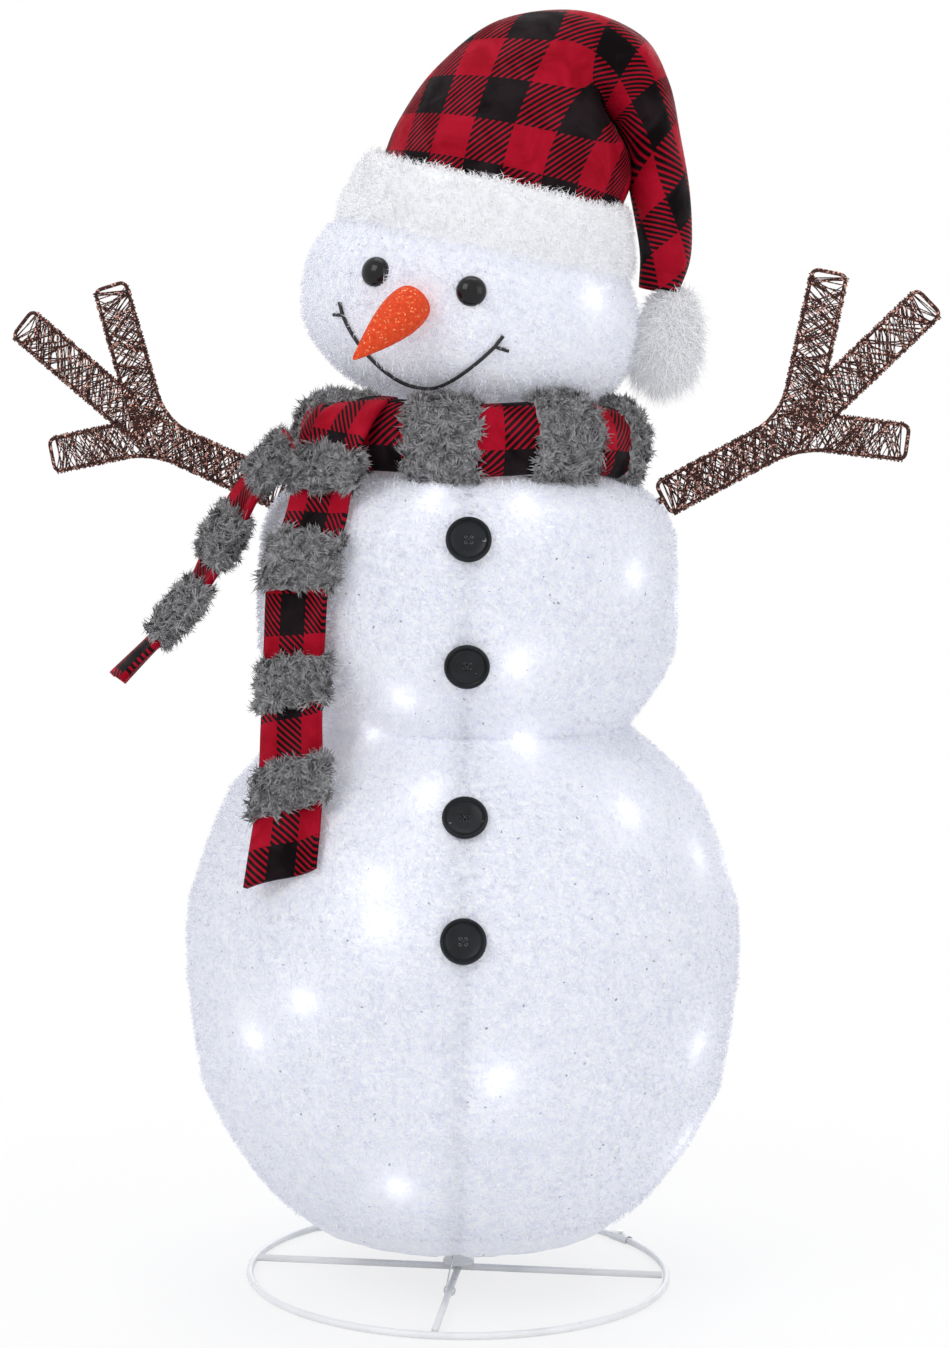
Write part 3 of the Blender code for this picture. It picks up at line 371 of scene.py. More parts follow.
@dataclass(frozen=True)
class PaintFinish(Finish):
    """Sprayed enamel with a slight orange peel and soiled patches, or plated wire when metallic."""

    soiled: Colour = (0.70, 0.71, 0.72)
    metallic: float = 0.0
    patch_scale: float = 22.0
    haze_scale: float = 90.0
    peel_scale: float = 420.0
    peel_depth: float = 0.0004

    def material(self, groups: SharedGroups) -> bpy.types.Material:
        """Build the material from the shared groups.

        Args:
            groups: Shared node groups.

        Returns:
            The material.
        """
        made, graph, shader = self.start()
        place = graph.place()
        patch = graph.spread(graph.noise(place, self.patch_scale, 5.0), 0.48, 0.72)
        body = graph.mix(patch, self.colour, self.soiled)
        haze = graph.noise(place, self.haze_scale)
        rough = graph.spread(haze, 0.3, 0.7, self.roughness * 0.75, self.roughness * 1.3)
        graph.fill(shader, Base_Color=body, Roughness=rough, Metallic=self.metallic)
        self.bump(graph, shader, graph.noise(place, self.peel_scale, 2.0), self.peel_depth, 0.25)
        return made


@dataclass(frozen=True)
class PlushFinish(Finish):
    """Sparkling short plush that light spots shine through."""

    shade: Colour = (0.62, 0.67, 0.86)
    fineness: float = 190.0
    clump: float = 55.0
    depth: float = 0.0035
    lit: float = 0.62
    specks: float = 0.0
    speck: Colour = (0.30, 0.31, 0.35)
    speck_fineness: float = 420.0
    spark: Colour = (0.97, 0.98, 1.0)
    sparks: float = 0.05
    spark_fineness: float = 340.0
    spark_roughness: float = 0.22
    shine: Colour = (0.96, 0.97, 1.0)

    def material(self, groups: SharedGroups) -> bpy.types.Material:
        """Build the material from the shared groups.

        Args:
            groups: Shared node groups.

        Returns:
            The material.
        """
        made, graph, shader = self.start()
        place = graph.place()
        pile = graph.group(groups.pile, Vector=place, Fineness=self.fineness, Clump=self.clump)
        spark = graph.group(groups.glitter, Vector=place, Fineness=self.spark_fineness, Share=self.sparks)
        speck = graph.group(groups.glitter, Vector=place, Fineness=self.speck_fineness, Share=self.specks)
        tone = graph.mix(pile.outputs["Tone"], self.shade, self.colour)
        tone = graph.mix(speck.outputs["Flake"], tone, self.speck)
        flake = spark.outputs["Flake"]
        rough = graph.spread(flake, 0.0, 1.0, self.roughness, self.spark_roughness)
        graph.fill(shader, Base_Color=graph.mix(flake, tone, self.spark), Roughness=rough)
        light = graph.add("ShaderNodeAttribute", attribute_name=GLOW)
        shine = graph.mix(light.outputs["Fac"], (0.0, 0.0, 0.0), self.shine)
        graph.fill(shader, Sheen_Weight=0.25, Sheen_Roughness=0.5, Emission_Color=shine,
                   Emission_Strength=self.lit)
        self.bump(graph, shader, pile.outputs["Height"], self.depth, 0.9)
        return made


@dataclass(frozen=True)
class CheckFinish(Finish):
    """Red and charcoal check velvet on the piece's own weave map."""

    dark: Colour = (0.003, 0.0015, 0.002)
    across: float = 0.046
    along: float = 0.056
    twill: float = 0.0076
    nap_scale: float = 26.0
    red_lift: Colour = (1.45, 2.6, 2.0)
    dark_nap: Colour = (0.016, 0.010, 0.012)
    pile_fineness: float = 900.0
    pile_clump: float = 120.0
    pile_depth: float = 0.0012

    def material(self, groups: SharedGroups) -> bpy.types.Material:
        """Build the material from the shared groups.

        Args:
            groups: Shared node groups.

        Returns:
            The material.
        """
        made, graph, shader = self.start()
        weave = graph.add("ShaderNodeUVMap", uv_map=WEAVE_MAP).outputs["UV"]
        check = graph.group(groups.check, Weave=weave, Across=self.across, Along=self.along, Twill=self.twill)
        place = graph.place()
        nap = graph.spread(graph.noise(place, self.nap_scale, 4.0, 0.8), 0.36, 0.66)
        lifted = tuple(part * lift for part, lift in zip(self.colour, self.red_lift))
        red = graph.mix(nap, self.colour, lifted)
        black = graph.mix(nap, self.dark, self.dark_nap)
        body = graph.mix(check.outputs["Dark"], red, black)
        rough = graph.spread(nap, 0.0, 1.0, self.roughness, self.roughness * 0.72)
        graph.fill(shader, Base_Color=body, Roughness=rough, Specular_IOR_Level=0.05, Sheen_Weight=0.01,
                   Sheen_Roughness=0.3)
        pile = graph.group(groups.pile, Vector=place, Fineness=self.pile_fineness, Clump=self.pile_clump)
        self.bump(graph, shader, pile.outputs["Height"], self.pile_depth, 0.5)
        return made


@dataclass(frozen=True)
class CurlFinish(Finish):
    """Curly long-pile fur in two tones."""

    light: Colour = (0.30, 0.30, 0.31)
    fineness: float = 150.0
    clump: float = 110.0
    depth: float = 0.005

    def material(self, groups: SharedGroups) -> bpy.types.Material:
        """Build the material from the shared groups.

        Args:
            groups: Shared node groups.

        Returns:
            The material.
        """
        made, graph, shader = self.start()
        pile = graph.group(groups.pile, Vector=graph.place(), Fineness=self.fineness, Clump=self.clump)
        body = graph.mix(pile.outputs["Tone"], self.colour, self.light)
        graph.fill(shader, Base_Color=body, Sheen_Weight=0.4)
        self.bump(graph, shader, pile.outputs["Height"], self.depth, 0.8)
        return made


@dataclass(frozen=True)
class GlitterFinish(Finish):
    """Felt or string with metallic flakes in it."""

    flake: Colour = (0.9, 0.5, 0.3)
    share: float = 0.16
    fineness: float = 700.0
    flake_roughness: float = 0.25
    flake_metal: float = 0.6
    grain_scale: float = 240.0
    grain_shade: float = 0.75
    grain_depth: float = 0.0006

    def material(self, groups: SharedGroups) -> bpy.types.Material:
        """Build the material from the shared groups.

        Args:
            groups: Shared node groups.

        Returns:
            The material.
        """
        made, graph, shader = self.start()
        place = graph.place()
        spark = graph.group(groups.glitter, Vector=place, Fineness=self.fineness, Share=self.share)
        grain = graph.noise(place, self.grain_scale, 4.0)
        deep = tuple(part * self.grain_shade for part in self.colour)
        body = graph.mix(graph.spread(grain, 0.35, 0.65), deep, self.colour)
        flake, tone = spark.outputs["Flake"], spark.outputs["Tone"]
        bright = graph.math("MULTIPLY", flake, graph.spread(tone, 0.0, 1.0, 0.4, 1.0))
        rough = graph.spread(flake, 0.0, 1.0, self.roughness, self.flake_roughness)
        metal = graph.math("MULTIPLY", flake, self.flake_metal)
        graph.fill(shader, Base_Color=graph.mix(bright, body, self.flake), Roughness=rough, Metallic=metal,
                   Specular_IOR_Level=0.2)
        self.bump(graph, shader, graph.math("ADD", grain, tone), self.grain_depth, 0.6)
        return made


@dataclass(frozen=True)
class PlasticFinish(Finish):
    """Moulded plastic with a faint texture and fingered gloss."""

    gloss: float = 0.5
    haze_scale: float = 60.0
    haze_lift: float = 1.8
    grain_scale: float = 900.0
    grain_depth: float = 0.0002

    def material(self, groups: SharedGroups) -> bpy.types.Material:
        """Build the material from the shared groups.

        Args:
            groups: Shared node groups.

        Returns:
            The material.
        """
        made, graph, shader = self.start()
        place = graph.place()
        haze = graph.noise(place, self.haze_scale, 4.0)
        rough = graph.spread(haze, 0.3, 0.7, self.roughness * 0.7, self.roughness * 1.4)
        lighter = tuple(part * self.haze_lift for part in self.colour)
        body = graph.mix(graph.spread(haze, 0.4, 0.7), self.colour, lighter)
        graph.fill(shader, Base_Color=body, Roughness=rough, Specular_IOR_Level=self.gloss)
        self.bump(graph, shader, graph.noise(place, self.grain_scale, 2.0), self.grain_depth, 0.2)
        return made


@dataclass(frozen=True)
class BulbFinish(Finish):
    """Clear light wire whose bulbs shine."""

    tint: Colour = (0.95, 0.97, 1.0)
    tint_scale: float = 120.0
    shine: Colour = (0.9, 0.95, 1.0)
    lit: float = 0.8

    def material(self, groups: SharedGroups) -> bpy.types.Material:
        """Build the material from the shared groups.

        Args:
            groups: Shared node groups.

        Returns:
            The material.
        """
        made, graph, shader = self.start()
        tint = graph.spread(graph.noise(graph.place(), self.tint_scale), 0.3, 0.7)
        graph.fill(shader, Base_Color=graph.mix(tint, self.colour, self.tint), Emission_Color=self.shine,
                   Emission_Strength=self.lit)
        return made


@dataclass(frozen=True)
class Dress:
    """A finish as a material, with the record's slot that it belongs to."""

    material: bpy.types.Material
    slot: Slot


@dataclass(frozen=True)
class Wardrobe:
    """Every finish of the snowman, made once."""

    paint: Dress
    steel: Dress
    plush: Dress
    trim: Dress
    check: Dress
    cap: Dress
    fur: Dress
    plastic: Dress
    eye: Dress
    string: Dress
    felt: Dress
    thread: Dress
    bulb: Dress

    @classmethod
    def sew(cls) -> "Wardrobe":
        """Build all the materials.

        Returns:
            The wardrobe.
        """
        groups = SharedGroups()
        finishes = {
            "paint": (Slot.PAINT, PaintFinish(
                "white enamel", (0.94, 0.945, 0.95), 0.34, (0.84, 0.845, 0.85))),
            "steel": (Slot.STEEL, PaintFinish(
                "zinc wire", (0.66, 0.67, 0.69), 0.30, (0.50, 0.51, 0.53), 1.0)),
            "plush": (Slot.PLUSH, PlushFinish(
                "white plush", (0.945, 0.945, 0.985), 0.85, (0.745, 0.765, 0.89), 300.0, 130.0,
                specks=0.0016)),
            "trim": (Slot.PLUSH, PlushFinish(
                "long white plush", (0.97, 0.97, 0.975), 0.85, (0.88, 0.88, 0.90), 240.0, 70.0)),
            "check": (Slot.PLAID, CheckFinish(
                "check velvet", RED, 0.66, across=CELL_ACROSS, along=CELL_ALONG)),
            "cap": (Slot.PLAID, CheckFinish("cap velvet", RED, 0.66, along=0.043)),
            "fur": (Slot.PLAID, CurlFinish(
                "grey curled fur", (0.058, 0.057, 0.060), 0.9, (0.43, 0.425, 0.43))),
            "plastic": (Slot.PLASTIC, PlasticFinish(
                "satin black plastic", (0.008, 0.009, 0.011), 0.34, 0.22)),
            "eye": (Slot.PLASTIC, PlasticFinish(
                "glossy black plastic", (0.006, 0.006, 0.007), 0.10, 0.28)),
            "string": (Slot.STRING, GlitterFinish(
                "brown glitter string", (0.062, 0.021, 0.016), 0.5, (0.80, 0.44, 0.36), 0.20, 520.0)),
            "felt": (Slot.FELT, GlitterFinish(
                "orange glitter felt", (0.88, 0.080, 0.020), 0.8, (0.95, 0.36, 0.16), 0.08)),
            "thread": (Slot.THREAD, PlasticFinish("black embroidery thread", (0.010, 0.010, 0.012), 0.55)),
            "bulb": (Slot.LIGHT, BulbFinish("clear bulb", (0.80, 0.86, 0.92), 0.15)),
        }
        return cls(**{key: Dress(finish.material(groups), slot) for key, (slot, finish) in finishes.items()})


def piece(name: str, shape: bmesh.types.BMesh | bpy.types.Mesh, dress: Dress, body: str,
          nodes: Sequence[str] = ()) -> bpy.types.Object:
    """Make a finished piece that rides on a body.

    Args:
        name: The piece's name.
        shape: Its mesh in place, or a bmesh, which is shaded smooth and freed.
        dress: Its finish.
        body: The CAD body that it moves with.
        nodes: CAD nodes that it stands for.

    Returns:
        The piece.
    """
    data = shape
    if isinstance(shape, bmesh.types.BMesh):
        data = bpy.data.meshes.new(name)
        shape.to_mesh(data)
        shape.free()
        data.shade_smooth()
    made = bpy.data.objects.new(name, data)
    bpy.context.scene.collection.objects.link(made)
    data.materials.clear()
    data.materials.append(dress.material)
    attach(made, body)
    if nodes:
        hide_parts(*nodes)
    LOG.info("%s: %d faces on %s", name, len(data.polygons), body)
    return made


def close_up(shape: bmesh.types.BMesh) -> None:
    """Turn a spun shape's faces outwards, and put its parts in an order that is the same in each run.

    Args:
        shape: The shape, changed in place.
    """
    bmesh.ops.recalc_face_normals(shape, faces=shape.faces)
    shape.verts.sort(key=lambda vert: vert.co.dot(ORDER))
    shape.faces.sort(key=lambda face: face.calc_center_median().dot(ORDER))


def spun(profile: Sequence[tuple[float, float]], steps: int, closed: bool = False) -> bmesh.types.BMesh:
    """Spin an X-Z profile about Z.

    Args:
        profile: Radius and height of each point.
        steps: Facets round the axis.
        closed: Whether the profile is a ring's section.

    Returns:
        The merged shape with its faces outwards.
    """
    shape = bmesh.new()
    points = [shape.verts.new((across, 0.0, up)) for across, up in profile]
    edges = [shape.edges.new(pair) for pair in zip(points, points[1:])]
    if closed:
        edges.append(shape.edges.new((points[-1], points[0])))
    bmesh.ops.spin(shape, geom=points + edges, cent=(0, 0, 0), axis=(0, 0, 1), angle=FULL_TURN, steps=steps,
                   use_merge=True)
    bmesh.ops.remove_doubles(shape, verts=shape.verts, dist=1e-6)
    close_up(shape)
    return shape


def rod(first: Vector, last: Vector, radius: float, sides: int = 24,
        round_off: float = 0.0) -> bmesh.types.BMesh:
    """A straight bar between two points.

    Args:
        first: Centre of one end.
        last: Centre of the other end.
        radius: Half its thickness.
        sides: Facets round it.
        round_off: Bevel on its end edges.

    Returns:
        The bar.
    """
    shape = bmesh.new()
    along = last - first
    bmesh.ops.create_cone(shape, cap_ends=True, segments=sides, radius1=radius, radius2=radius,
                          depth=along.length)
    if round_off:
        rims = [edge for edge in shape.edges if abs(edge.verts[0].co.z - edge.verts[1].co.z) < 1e-6]
        bmesh.ops.bevel(shape, geom=rims, offset=round_off, offset_type="OFFSET", segments=2, profile=0.5,
                        affect="EDGES", material=-1)
    middle = Matrix.Translation((first + last) / 2)
    bmesh.ops.transform(shape, matrix=middle @ aimed(along.normalized()), verts=shape.verts)
    return shape


def wire(name: str, runs: Iterable[Sequence[Vector]], radius: float, cyclic: bool = False,
         facets: int = 2) -> bpy.types.Mesh:
    """A bundle of round wires as one mesh.

    Args:
        name: The mesh's name.
        runs: Points of each wire.
        radius: Half a wire's thickness.
        cyclic: Whether each wire is a loop.
        facets: Bevel resolution.

    Returns:
        The mesh.
    """
    data = bpy.data.curves.new(name, "CURVE")
    data.dimensions = "3D"
    data.bevel_depth = radius
    data.bevel_resolution = facets
    data.use_fill_caps = not cyclic
    for points in runs:
        spline = data.splines.new("POLY")
        spline.points.add(len(points) - 1)
        for index, place in enumerate(points):
            spline.points[index].co = (*place, 1.0)
        spline.use_cyclic_u = cyclic
    helper = bpy.data.objects.new(name, data)
    mesh = bpy.data.meshes.new_from_object(helper)
    bpy.data.objects.remove(helper)
    bpy.data.curves.remove(data)
    mesh.shade_smooth()
    return mesh


def smooth_path(points: Sequence[Vector], steps: int) -> list[Vector]:
    """A Catmull-Rom curve through points.

    Args:
        points: The route.
        steps: Points for each span.

    Returns:
        Points along the curve.
    """
    padded = [2 * points[0] - points[1], *points, 2 * points[-1] - points[-2]]
    path = []
    for index in range(1, len(padded) - 2):
        before, start, stop, after = padded[index - 1:index + 3]
        for step in range(steps):
            part = step / steps
            path.append(0.5 * (2 * start + (stop - before) * part
                               + (2 * before - 5 * start + 4 * stop - after) * part ** 2
                               + (3 * start - before - 3 * stop + after) * part ** 3))
    path.append(points[-1].copy())
    return path


def along_path(path: Sequence[Vector], share: float) -> Vector:
    """The point at a share of a path's count of points.

    Args:
        path: The points.
        share: How far along, from nothing to all.

    Returns:
        The point.
    """
    place = as_share(share) * (len(path) - 1)
    index = min(int(place), len(path) - 2)
    return path[index].lerp(path[index + 1], place - index)


def path_length(path: Sequence[Vector]) -> float:
    """Length along a path."""
    return sum((far - near).length for near, far in zip(path, path[1:]))


def stood_up(line: Iterable[tuple[float, float]]) -> list[Vector]:
    """A drawn line of radii and heights, stood up in the X-Z plane."""
    return [Vector((across, 0.0, up)) for across, up in line]


def as_share(value: float) -> float:
    """A value kept between nothing and all."""
    return min(max(value, 0.0), 1.0)


def aimed(way: Vector) -> Matrix:
    """The turn that points +Z along a direction."""
    return way.to_track_quat("Z", "Y").to_matrix().to_4x4()


def round_z(across: float, turn: float, up: float) -> Vector:
    """A point at a radius and turn about the pole."""
    return Vector((across * math.cos(turn), across * math.sin(turn), up))


def plain_weave(width: float, length: float) -> Weave:
    """Weave map of an untapered cloth, measured from its middle line and its start."""
    return lambda across, along: ((across - 0.5) * width, along * length)


def cloth_grid(columns: int, rows: int, place: Callable[[float, float], Vector],
               weave: Weave) -> bmesh.types.BMesh:
    """A woven sheet, bent into place from a flat grid, with its weave map in metres.

    Args:
        columns: Squares across.
        rows: Squares along.
        place: Where a point goes, from its shares across and along.
        weave: Where that point lies in the flat cloth.

    Returns:
        The sheet.
    """
    shape = bmesh.new()
    layer = shape.loops.layers.uv.new(WEAVE_MAP)
    bmesh.ops.create_grid(shape, x_segments=columns, y_segments=rows, size=0.5)
    for face in shape.faces:
        for loop in face.loops:
            loop[layer].uv = weave(loop.vert.co.x + 0.5, loop.vert.co.y + 0.5)
    for vert in shape.verts:
        vert.co = place(vert.co.x + 0.5, vert.co.y + 0.5)
    bmesh.ops.remove_doubles(shape, verts=shape.verts, dist=1e-5)
    bmesh.ops.recalc_face_normals(shape, faces=shape.faces)
    return shape


def solidify(target: bpy.types.Object, thickness: float, outwards: float = -1.0) -> None:
    """Give a sheet its thickness, inwards of its surface by default.

    Args:
        target: The sheet.
        thickness: Its thickness.
        outwards: Side that it grows to, from -1 to 1.
    """
    change = target.modifiers.new("thickness", "SOLIDIFY")
    change.thickness = thickness
    change.offset = outwards


def lumpy(shape: bmesh.types.BMesh, scale: float, depth: float, seed: float = 0.0) -> None:
    """Push points in and out along their normals by smooth noise.

    Args:
        shape: What is changed.
        scale: Lumps in a metre.
        depth: Largest push.
        seed: Shifts the noise.
    """
    shape.normal_update()
    for vert in shape.verts:
        vert.co += vert.normal * (depth * noise.noise(vert.co * scale + Vector((seed, seed, seed))))


def cloth_area(shape: bmesh.types.BMesh) -> float:
    """Area of a sheet as it hangs."""
    return sum(face.calc_area() for face in shape.faces)


def mesh_places(mesh: bpy.types.Mesh) -> np.ndarray:
    """Places of a mesh's points, a row for each.

    Args:
        mesh: The mesh.

    Returns:
        The table.
    """
    places = np.empty(len(mesh.vertices) * 3)
    mesh.vertices.foreach_get("co", places)
    return places.reshape(-1, 3)


def spot_glow(away: np.ndarray) -> np.ndarray:
    """Light of a bulb behind the plush at a distance from it: a soft core in a wide halo."""
    return CORE_LEVEL * np.exp(-(away / CORE_REACH) ** 2) + HALO_LEVEL * np.exp(-(away / HALO_REACH) ** 2)


def light_up(target: bpy.types.Object, level: Callable[[np.ndarray], np.ndarray]) -> None:
    """Store how strongly light shines through each point of a piece.

    Args:
        target: The piece.
        level: Strengths at a table of places, cut at one.
    """
    shine = target.data.attributes.new(GLOW, "FLOAT", "POINT")
    shine.data.foreach_set("value", np.clip(level(mesh_places(target.data)), 0.0, 1.0))


@dataclass
class Pile:
    """Loose fibres that stand on a surface, each a bent blade of three triangles with a knee in it."""

    count: int
    length: float
    width: float
    lift: float = 0.9
    curl: float = 0.6
    seed: int = 1
    hang: float = 0.0
    lowest: float = 0.0
    locks: float = 0.0
    shortest: float = 0.6
    spread: float = 0.8
    stray: float = 0.35
    knee: float = 0.45
    taper: float = 0.8

    def comb(self, name: str, host: bpy.types.Object, dress: Dress, body: str,
             bare: Sequence[tuple[Vector, float]] = ()) -> bpy.types.Object:
        """Scatter the fibres.

        Args:
            name: Name of the new piece.
            host: The mesh that they stand on.
            dress: Their finish.
            body: The CAD body that they move with.
            bare: Centres and radii of places where nothing grows.

        Returns:
            The fibres as one piece.
        """
        dice = np.random.default_rng(self.seed)
        mesh = host.data
        mesh.calc_loop_triangles()
        corners = np.empty(len(mesh.loop_triangles) * 3, dtype=np.int64)
        mesh.loop_triangles.foreach_get("vertices", corners)
        corners = corners.reshape(-1, 3)
        places = mesh_places(mesh)
        first, second, third = (places[corners[:, index]] for index in range(3))
        cross = np.cross(second - first, third - first)
        area = np.linalg.norm(cross, axis=1)
        middle = (first + second + third) / 3.0
        area[middle[:, 2] < self.lowest] = 0.0
        for centre, radius in bare:
            area[np.linalg.norm(middle - np.array(centre), axis=1) < radius] = 0.0
        pick = dice.choice(len(corners), self.count, p=area / area.sum())
        share = dice.random((self.count, 2))
        fold = share.sum(axis=1) > 1.0
        share[fold] = 1.0 - share[fold]
        root = first[pick] + (second - first)[pick] * share[:, :1] + (third - first)[pick] * share[:, 1:]
        normal = cross[pick] / np.maximum(area[pick], 1e-12)[:, None]
        lean = [self._flat(dice.normal(size=(self.count, 3)), normal) for _ in range(2)]
        reach = self.length * (self.shortest + self.spread * dice.random((self.count, 1)))
        if self.locks:
            swirl = np.array([noise.noise_vector(Vector(place) * self.locks) for place in root])
            lean = [self._flat(way * self.stray + self._unit(swirl), normal) for way in lean]
        middle = root + (normal * self.lift + lean[0]) * reach * self.knee
        bend = normal * self.lift * self.knee + lean[0] * (1.0 - self.curl) + lean[1] * self.curl
        bend -= np.array(UP) * self.hang
        tip = middle + bend * reach * (1.0 - self.knee)
        side = self._unit(np.cross(normal, lean[0])) * self.width * 0.5
        slim = side * self.taper
        points = np.stack((root - side, root + side, middle + slim, middle - slim, tip), axis=1)
        corner_count = points.shape[1]
        base = np.arange(self.count)[:, None] * corner_count
        quads = (base + np.array([[0, 1, 2, 3]])).tolist()
        ends = (base + np.array([[3, 2, 4]])).tolist()
        data = bpy.data.meshes.new(name)
        data.from_pydata(points.reshape(-1, 3), [], quads + ends)
        data.shade_smooth()
        if GLOW in mesh.attributes:
            shine = np.empty(len(mesh.vertices))
            mesh.attributes[GLOW].data.foreach_get("value", shine)
            data.attributes.new(GLOW, "FLOAT", "POINT")
            data.attributes[GLOW].data.foreach_set("value", np.repeat(shine[corners[pick, 0]], corner_count))
        return piece(name, data, dress, body)

    @staticmethod
    def _unit(vectors: np.ndarray) -> np.ndarray:
        """Vectors cut to length one."""
        return vectors / np.maximum(np.linalg.norm(vectors, axis=1, keepdims=True), 1e-9)

    @classmethod
    def _flat(cls, vectors: np.ndarray, normal: np.ndarray) -> np.ndarray:
        """Vectors laid flat on their surface and cut to length one."""
        return cls._unit(vectors - normal * (vectors * normal).sum(axis=1, keepdims=True))


@dataclass
class Stand:
    """Painted ground ring with its spokes, the pole's foot and the tension chain."""

    wear: Wardrobe
    nodes: dict[str, bpy.types.Object]
    ring_radius: float = 0.252
    tube: float = 0.0042
    turn: float = math.radians(-6.0)
    spoke_z: float = 0.0087
    pole_radius: float = 0.0125
    pole_wall: float = 0.0018
    pole_top: float = 0.530
    socket_wall: float = 0.0035
    socket_top: float = 0.052
    flange_radius: float = 0.019
    flange_height: float = 0.005
    edge_round: float = 0.0008
    fit_gap: float = 0.0003
    spoke_gap: float = 0.0012
    coupling_turns: tuple[float, float] = (math.radians(41.5), math.radians(138.5))
    chain_reach: float = 0.036
    hook_reach: float = 0.098
    hoop_wire: float = 0.002
    link_wire: float = 0.0012
    link_half: float = 0.0055
    link_bend: float = 0.0034
    tube_sides: int = 18
    pole_sides: int = 40

    def build(self) -> None:
        """Make the smooth pieces and dress the CAD hardware."""
        self.ring()
        self.spokes()
        self.foot()
        self.chain()
        painted = ("ring_coupling_left", "ring_coupling_right", "pole_clamp", "upper_pole")
        plated = ("ring_bolt_left", "ring_bolt_right", "socket_screw", "clamp_screw", "bottom_hoop",
                  "low_hoop", "belly_hoop", "chest_hoop", "upper_hoop", "waist_hoop", "rib_hoop",
                  "shoulder_hoop", "neck_hoop", "head_frame", "arm_sleeve_left", "arm_sleeve_right")
        lit = ("lights_low", "lights_belly", "lights_upper", "lights_rib", "lights_shoulder", "head_lights")
        for names, dress in ((painted, self.wear.paint), (plated, self.wear.steel), (lit, self.wear.bulb),
                             (("light_connector",), self.wear.plastic)):
            for name in names:
                self.nodes[name].data.materials.clear()
                self.nodes[name].data.materials.append(dress.material)

    def ring(self) -> None:
        """Two arcs of bent tube that meet under the couplings."""
        right, left = (turn + self.turn for turn in self.coupling_turns)
        slit = self.fit_gap / self.ring_radius
        lay = Matrix.Translation((self.ring_radius, 0, self.tube)) @ Matrix.Rotation(math.pi / 2, 4, "X")
        arcs = {"base_ring_rear": (right, left), "base_ring_front": (left, right + FULL_TURN)}
        for name, (start, stop) in arcs.items():
            shape = bmesh.new()
            bmesh.ops.create_circle(shape, cap_ends=True, segments=self.tube_sides, radius=self.tube,
                                    matrix=lay)
            steps = round(120 * (stop - start) / FULL_TURN)
            bmesh.ops.spin(shape, geom=shape.verts[:] + shape.edges[:] + shape.faces[:], cent=(0, 0, 0),
                           axis=(0, 0, 1), angle=stop - start - 2 * slit, steps=steps)
            swing = Matrix.Rotation(start + slit, 3, "Z")
            bmesh.ops.rotate(shape, cent=(0, 0, 0), matrix=swing, verts=shape.verts)
            close_up(shape)
            piece(name + "_tube", shape, self.wear.paint, "stand", [name])

    def spokes(self) -> None:
        """Cross bar and two spokes."""
        end = self.ring_radius - self.tube - self.spoke_gap
        across = round_z(end, self.turn, 0.0)
        lift = Vector((0, 0, self.spoke_z))
        bars = {"base_cross_bar": (-across + lift, across + lift)}
        for name, turn in (("rear_spoke", self.turn + math.pi / 2), ("front_spoke", self.turn - math.pi / 2)):
            bars[name] = (round_z(self.tube, turn, self.spoke_z), round_z(end, turn, self.spoke_z))
        for name, (first, last) in bars.items():
            bar = rod(first, last, self.tube, self.tube_sides)
            piece(name + "_tube", bar, self.wear.paint, "stand", [name])

    def foot(self) -> None:
        """Flanged socket and the lower pole."""
        base = self.spoke_z + self.tube + self.fit_gap
        floor = base + self.flange_height
        top = self.socket_top
        bore = self.pole_radius + self.fit_gap
        outer = bore + self.socket_wall
        rim = self.flange_radius
        soft = self.edge_round
        cup = [(0, floor), (bore, floor), (bore, top), (outer - soft, top), (outer, top - soft),
               (outer, floor + soft), (outer + soft, floor), (rim - soft, floor), (rim, floor - soft),
               (rim, base), (0, base)]
        shape = spun(cup, self.pole_sides)
        piece("pole_socket_cup", shape, self.wear.paint, "stand", ["pole_socket"])
        outer = self.pole_radius
        inner = outer - self.pole_wall
        top = self.pole_top
        seat = floor + self.fit_gap
        shape = spun([(inner, top), (outer, top), (outer, seat), (inner, seat)], self.pole_sides, True)
        piece("lower_pole_tube", shape, self.wear.paint, "stand", ["lower_pole"])

    def chain(self) -> None:
        """Three plated links and the hook that holds the front spoke."""
        gap = self.fit_gap
        top = round_z(self.chain_reach, -math.pi / 2, BOTTOM_Z)
        foot = round_z(self.hook_reach, self.turn - math.pi / 2, self.spoke_z)
        bend = self.tube / math.cos(math.pi / 8) + 2 * gap + self.link_wire
        along = (foot + UP * bend - top).normalized()
        flat = Vector((1, 0, 0))
        flat = (flat - along * flat.dot(along)).normalized()
        upright = along.cross(flat)
        inner = self.link_half + self.link_bend - self.link_wire
        pitch = 2 * inner - 3 * gap
        centre = top + along * (inner - self.hoop_wire - 5 * gap)
        for number in range(3):
            side = upright if number % 2 else flat
            mesh = wire("link", [self.link(centre, along, side)], self.link_wire, cyclic=True)
            name = "chain_link_%d" % (number + 1)
            piece(name + "_wire", mesh, self.wear.steel, "stand", [name])
            centre = centre + along * pitch
        eye = centre + along * (inner - self.link_wire - gap + self.link_bend - pitch)
        points = []
        for angle in range(-20, 181, 20):
            turn = math.radians(angle)
            points.append(eye + (upright * math.cos(turn) - along * math.sin(turn)) * self.link_bend)
        around = round_z(1, self.turn, 0)
        for angle in range(-30, -326, -25):
            turn = math.radians(angle)
            points.append(foot + (around * math.sin(turn) + UP * math.cos(turn)) * bend)
        mesh = wire("hook", [points], self.link_wire)
        piece("chain_hook_wire", mesh, self.wear.steel, "stand", ["chain_hook"])

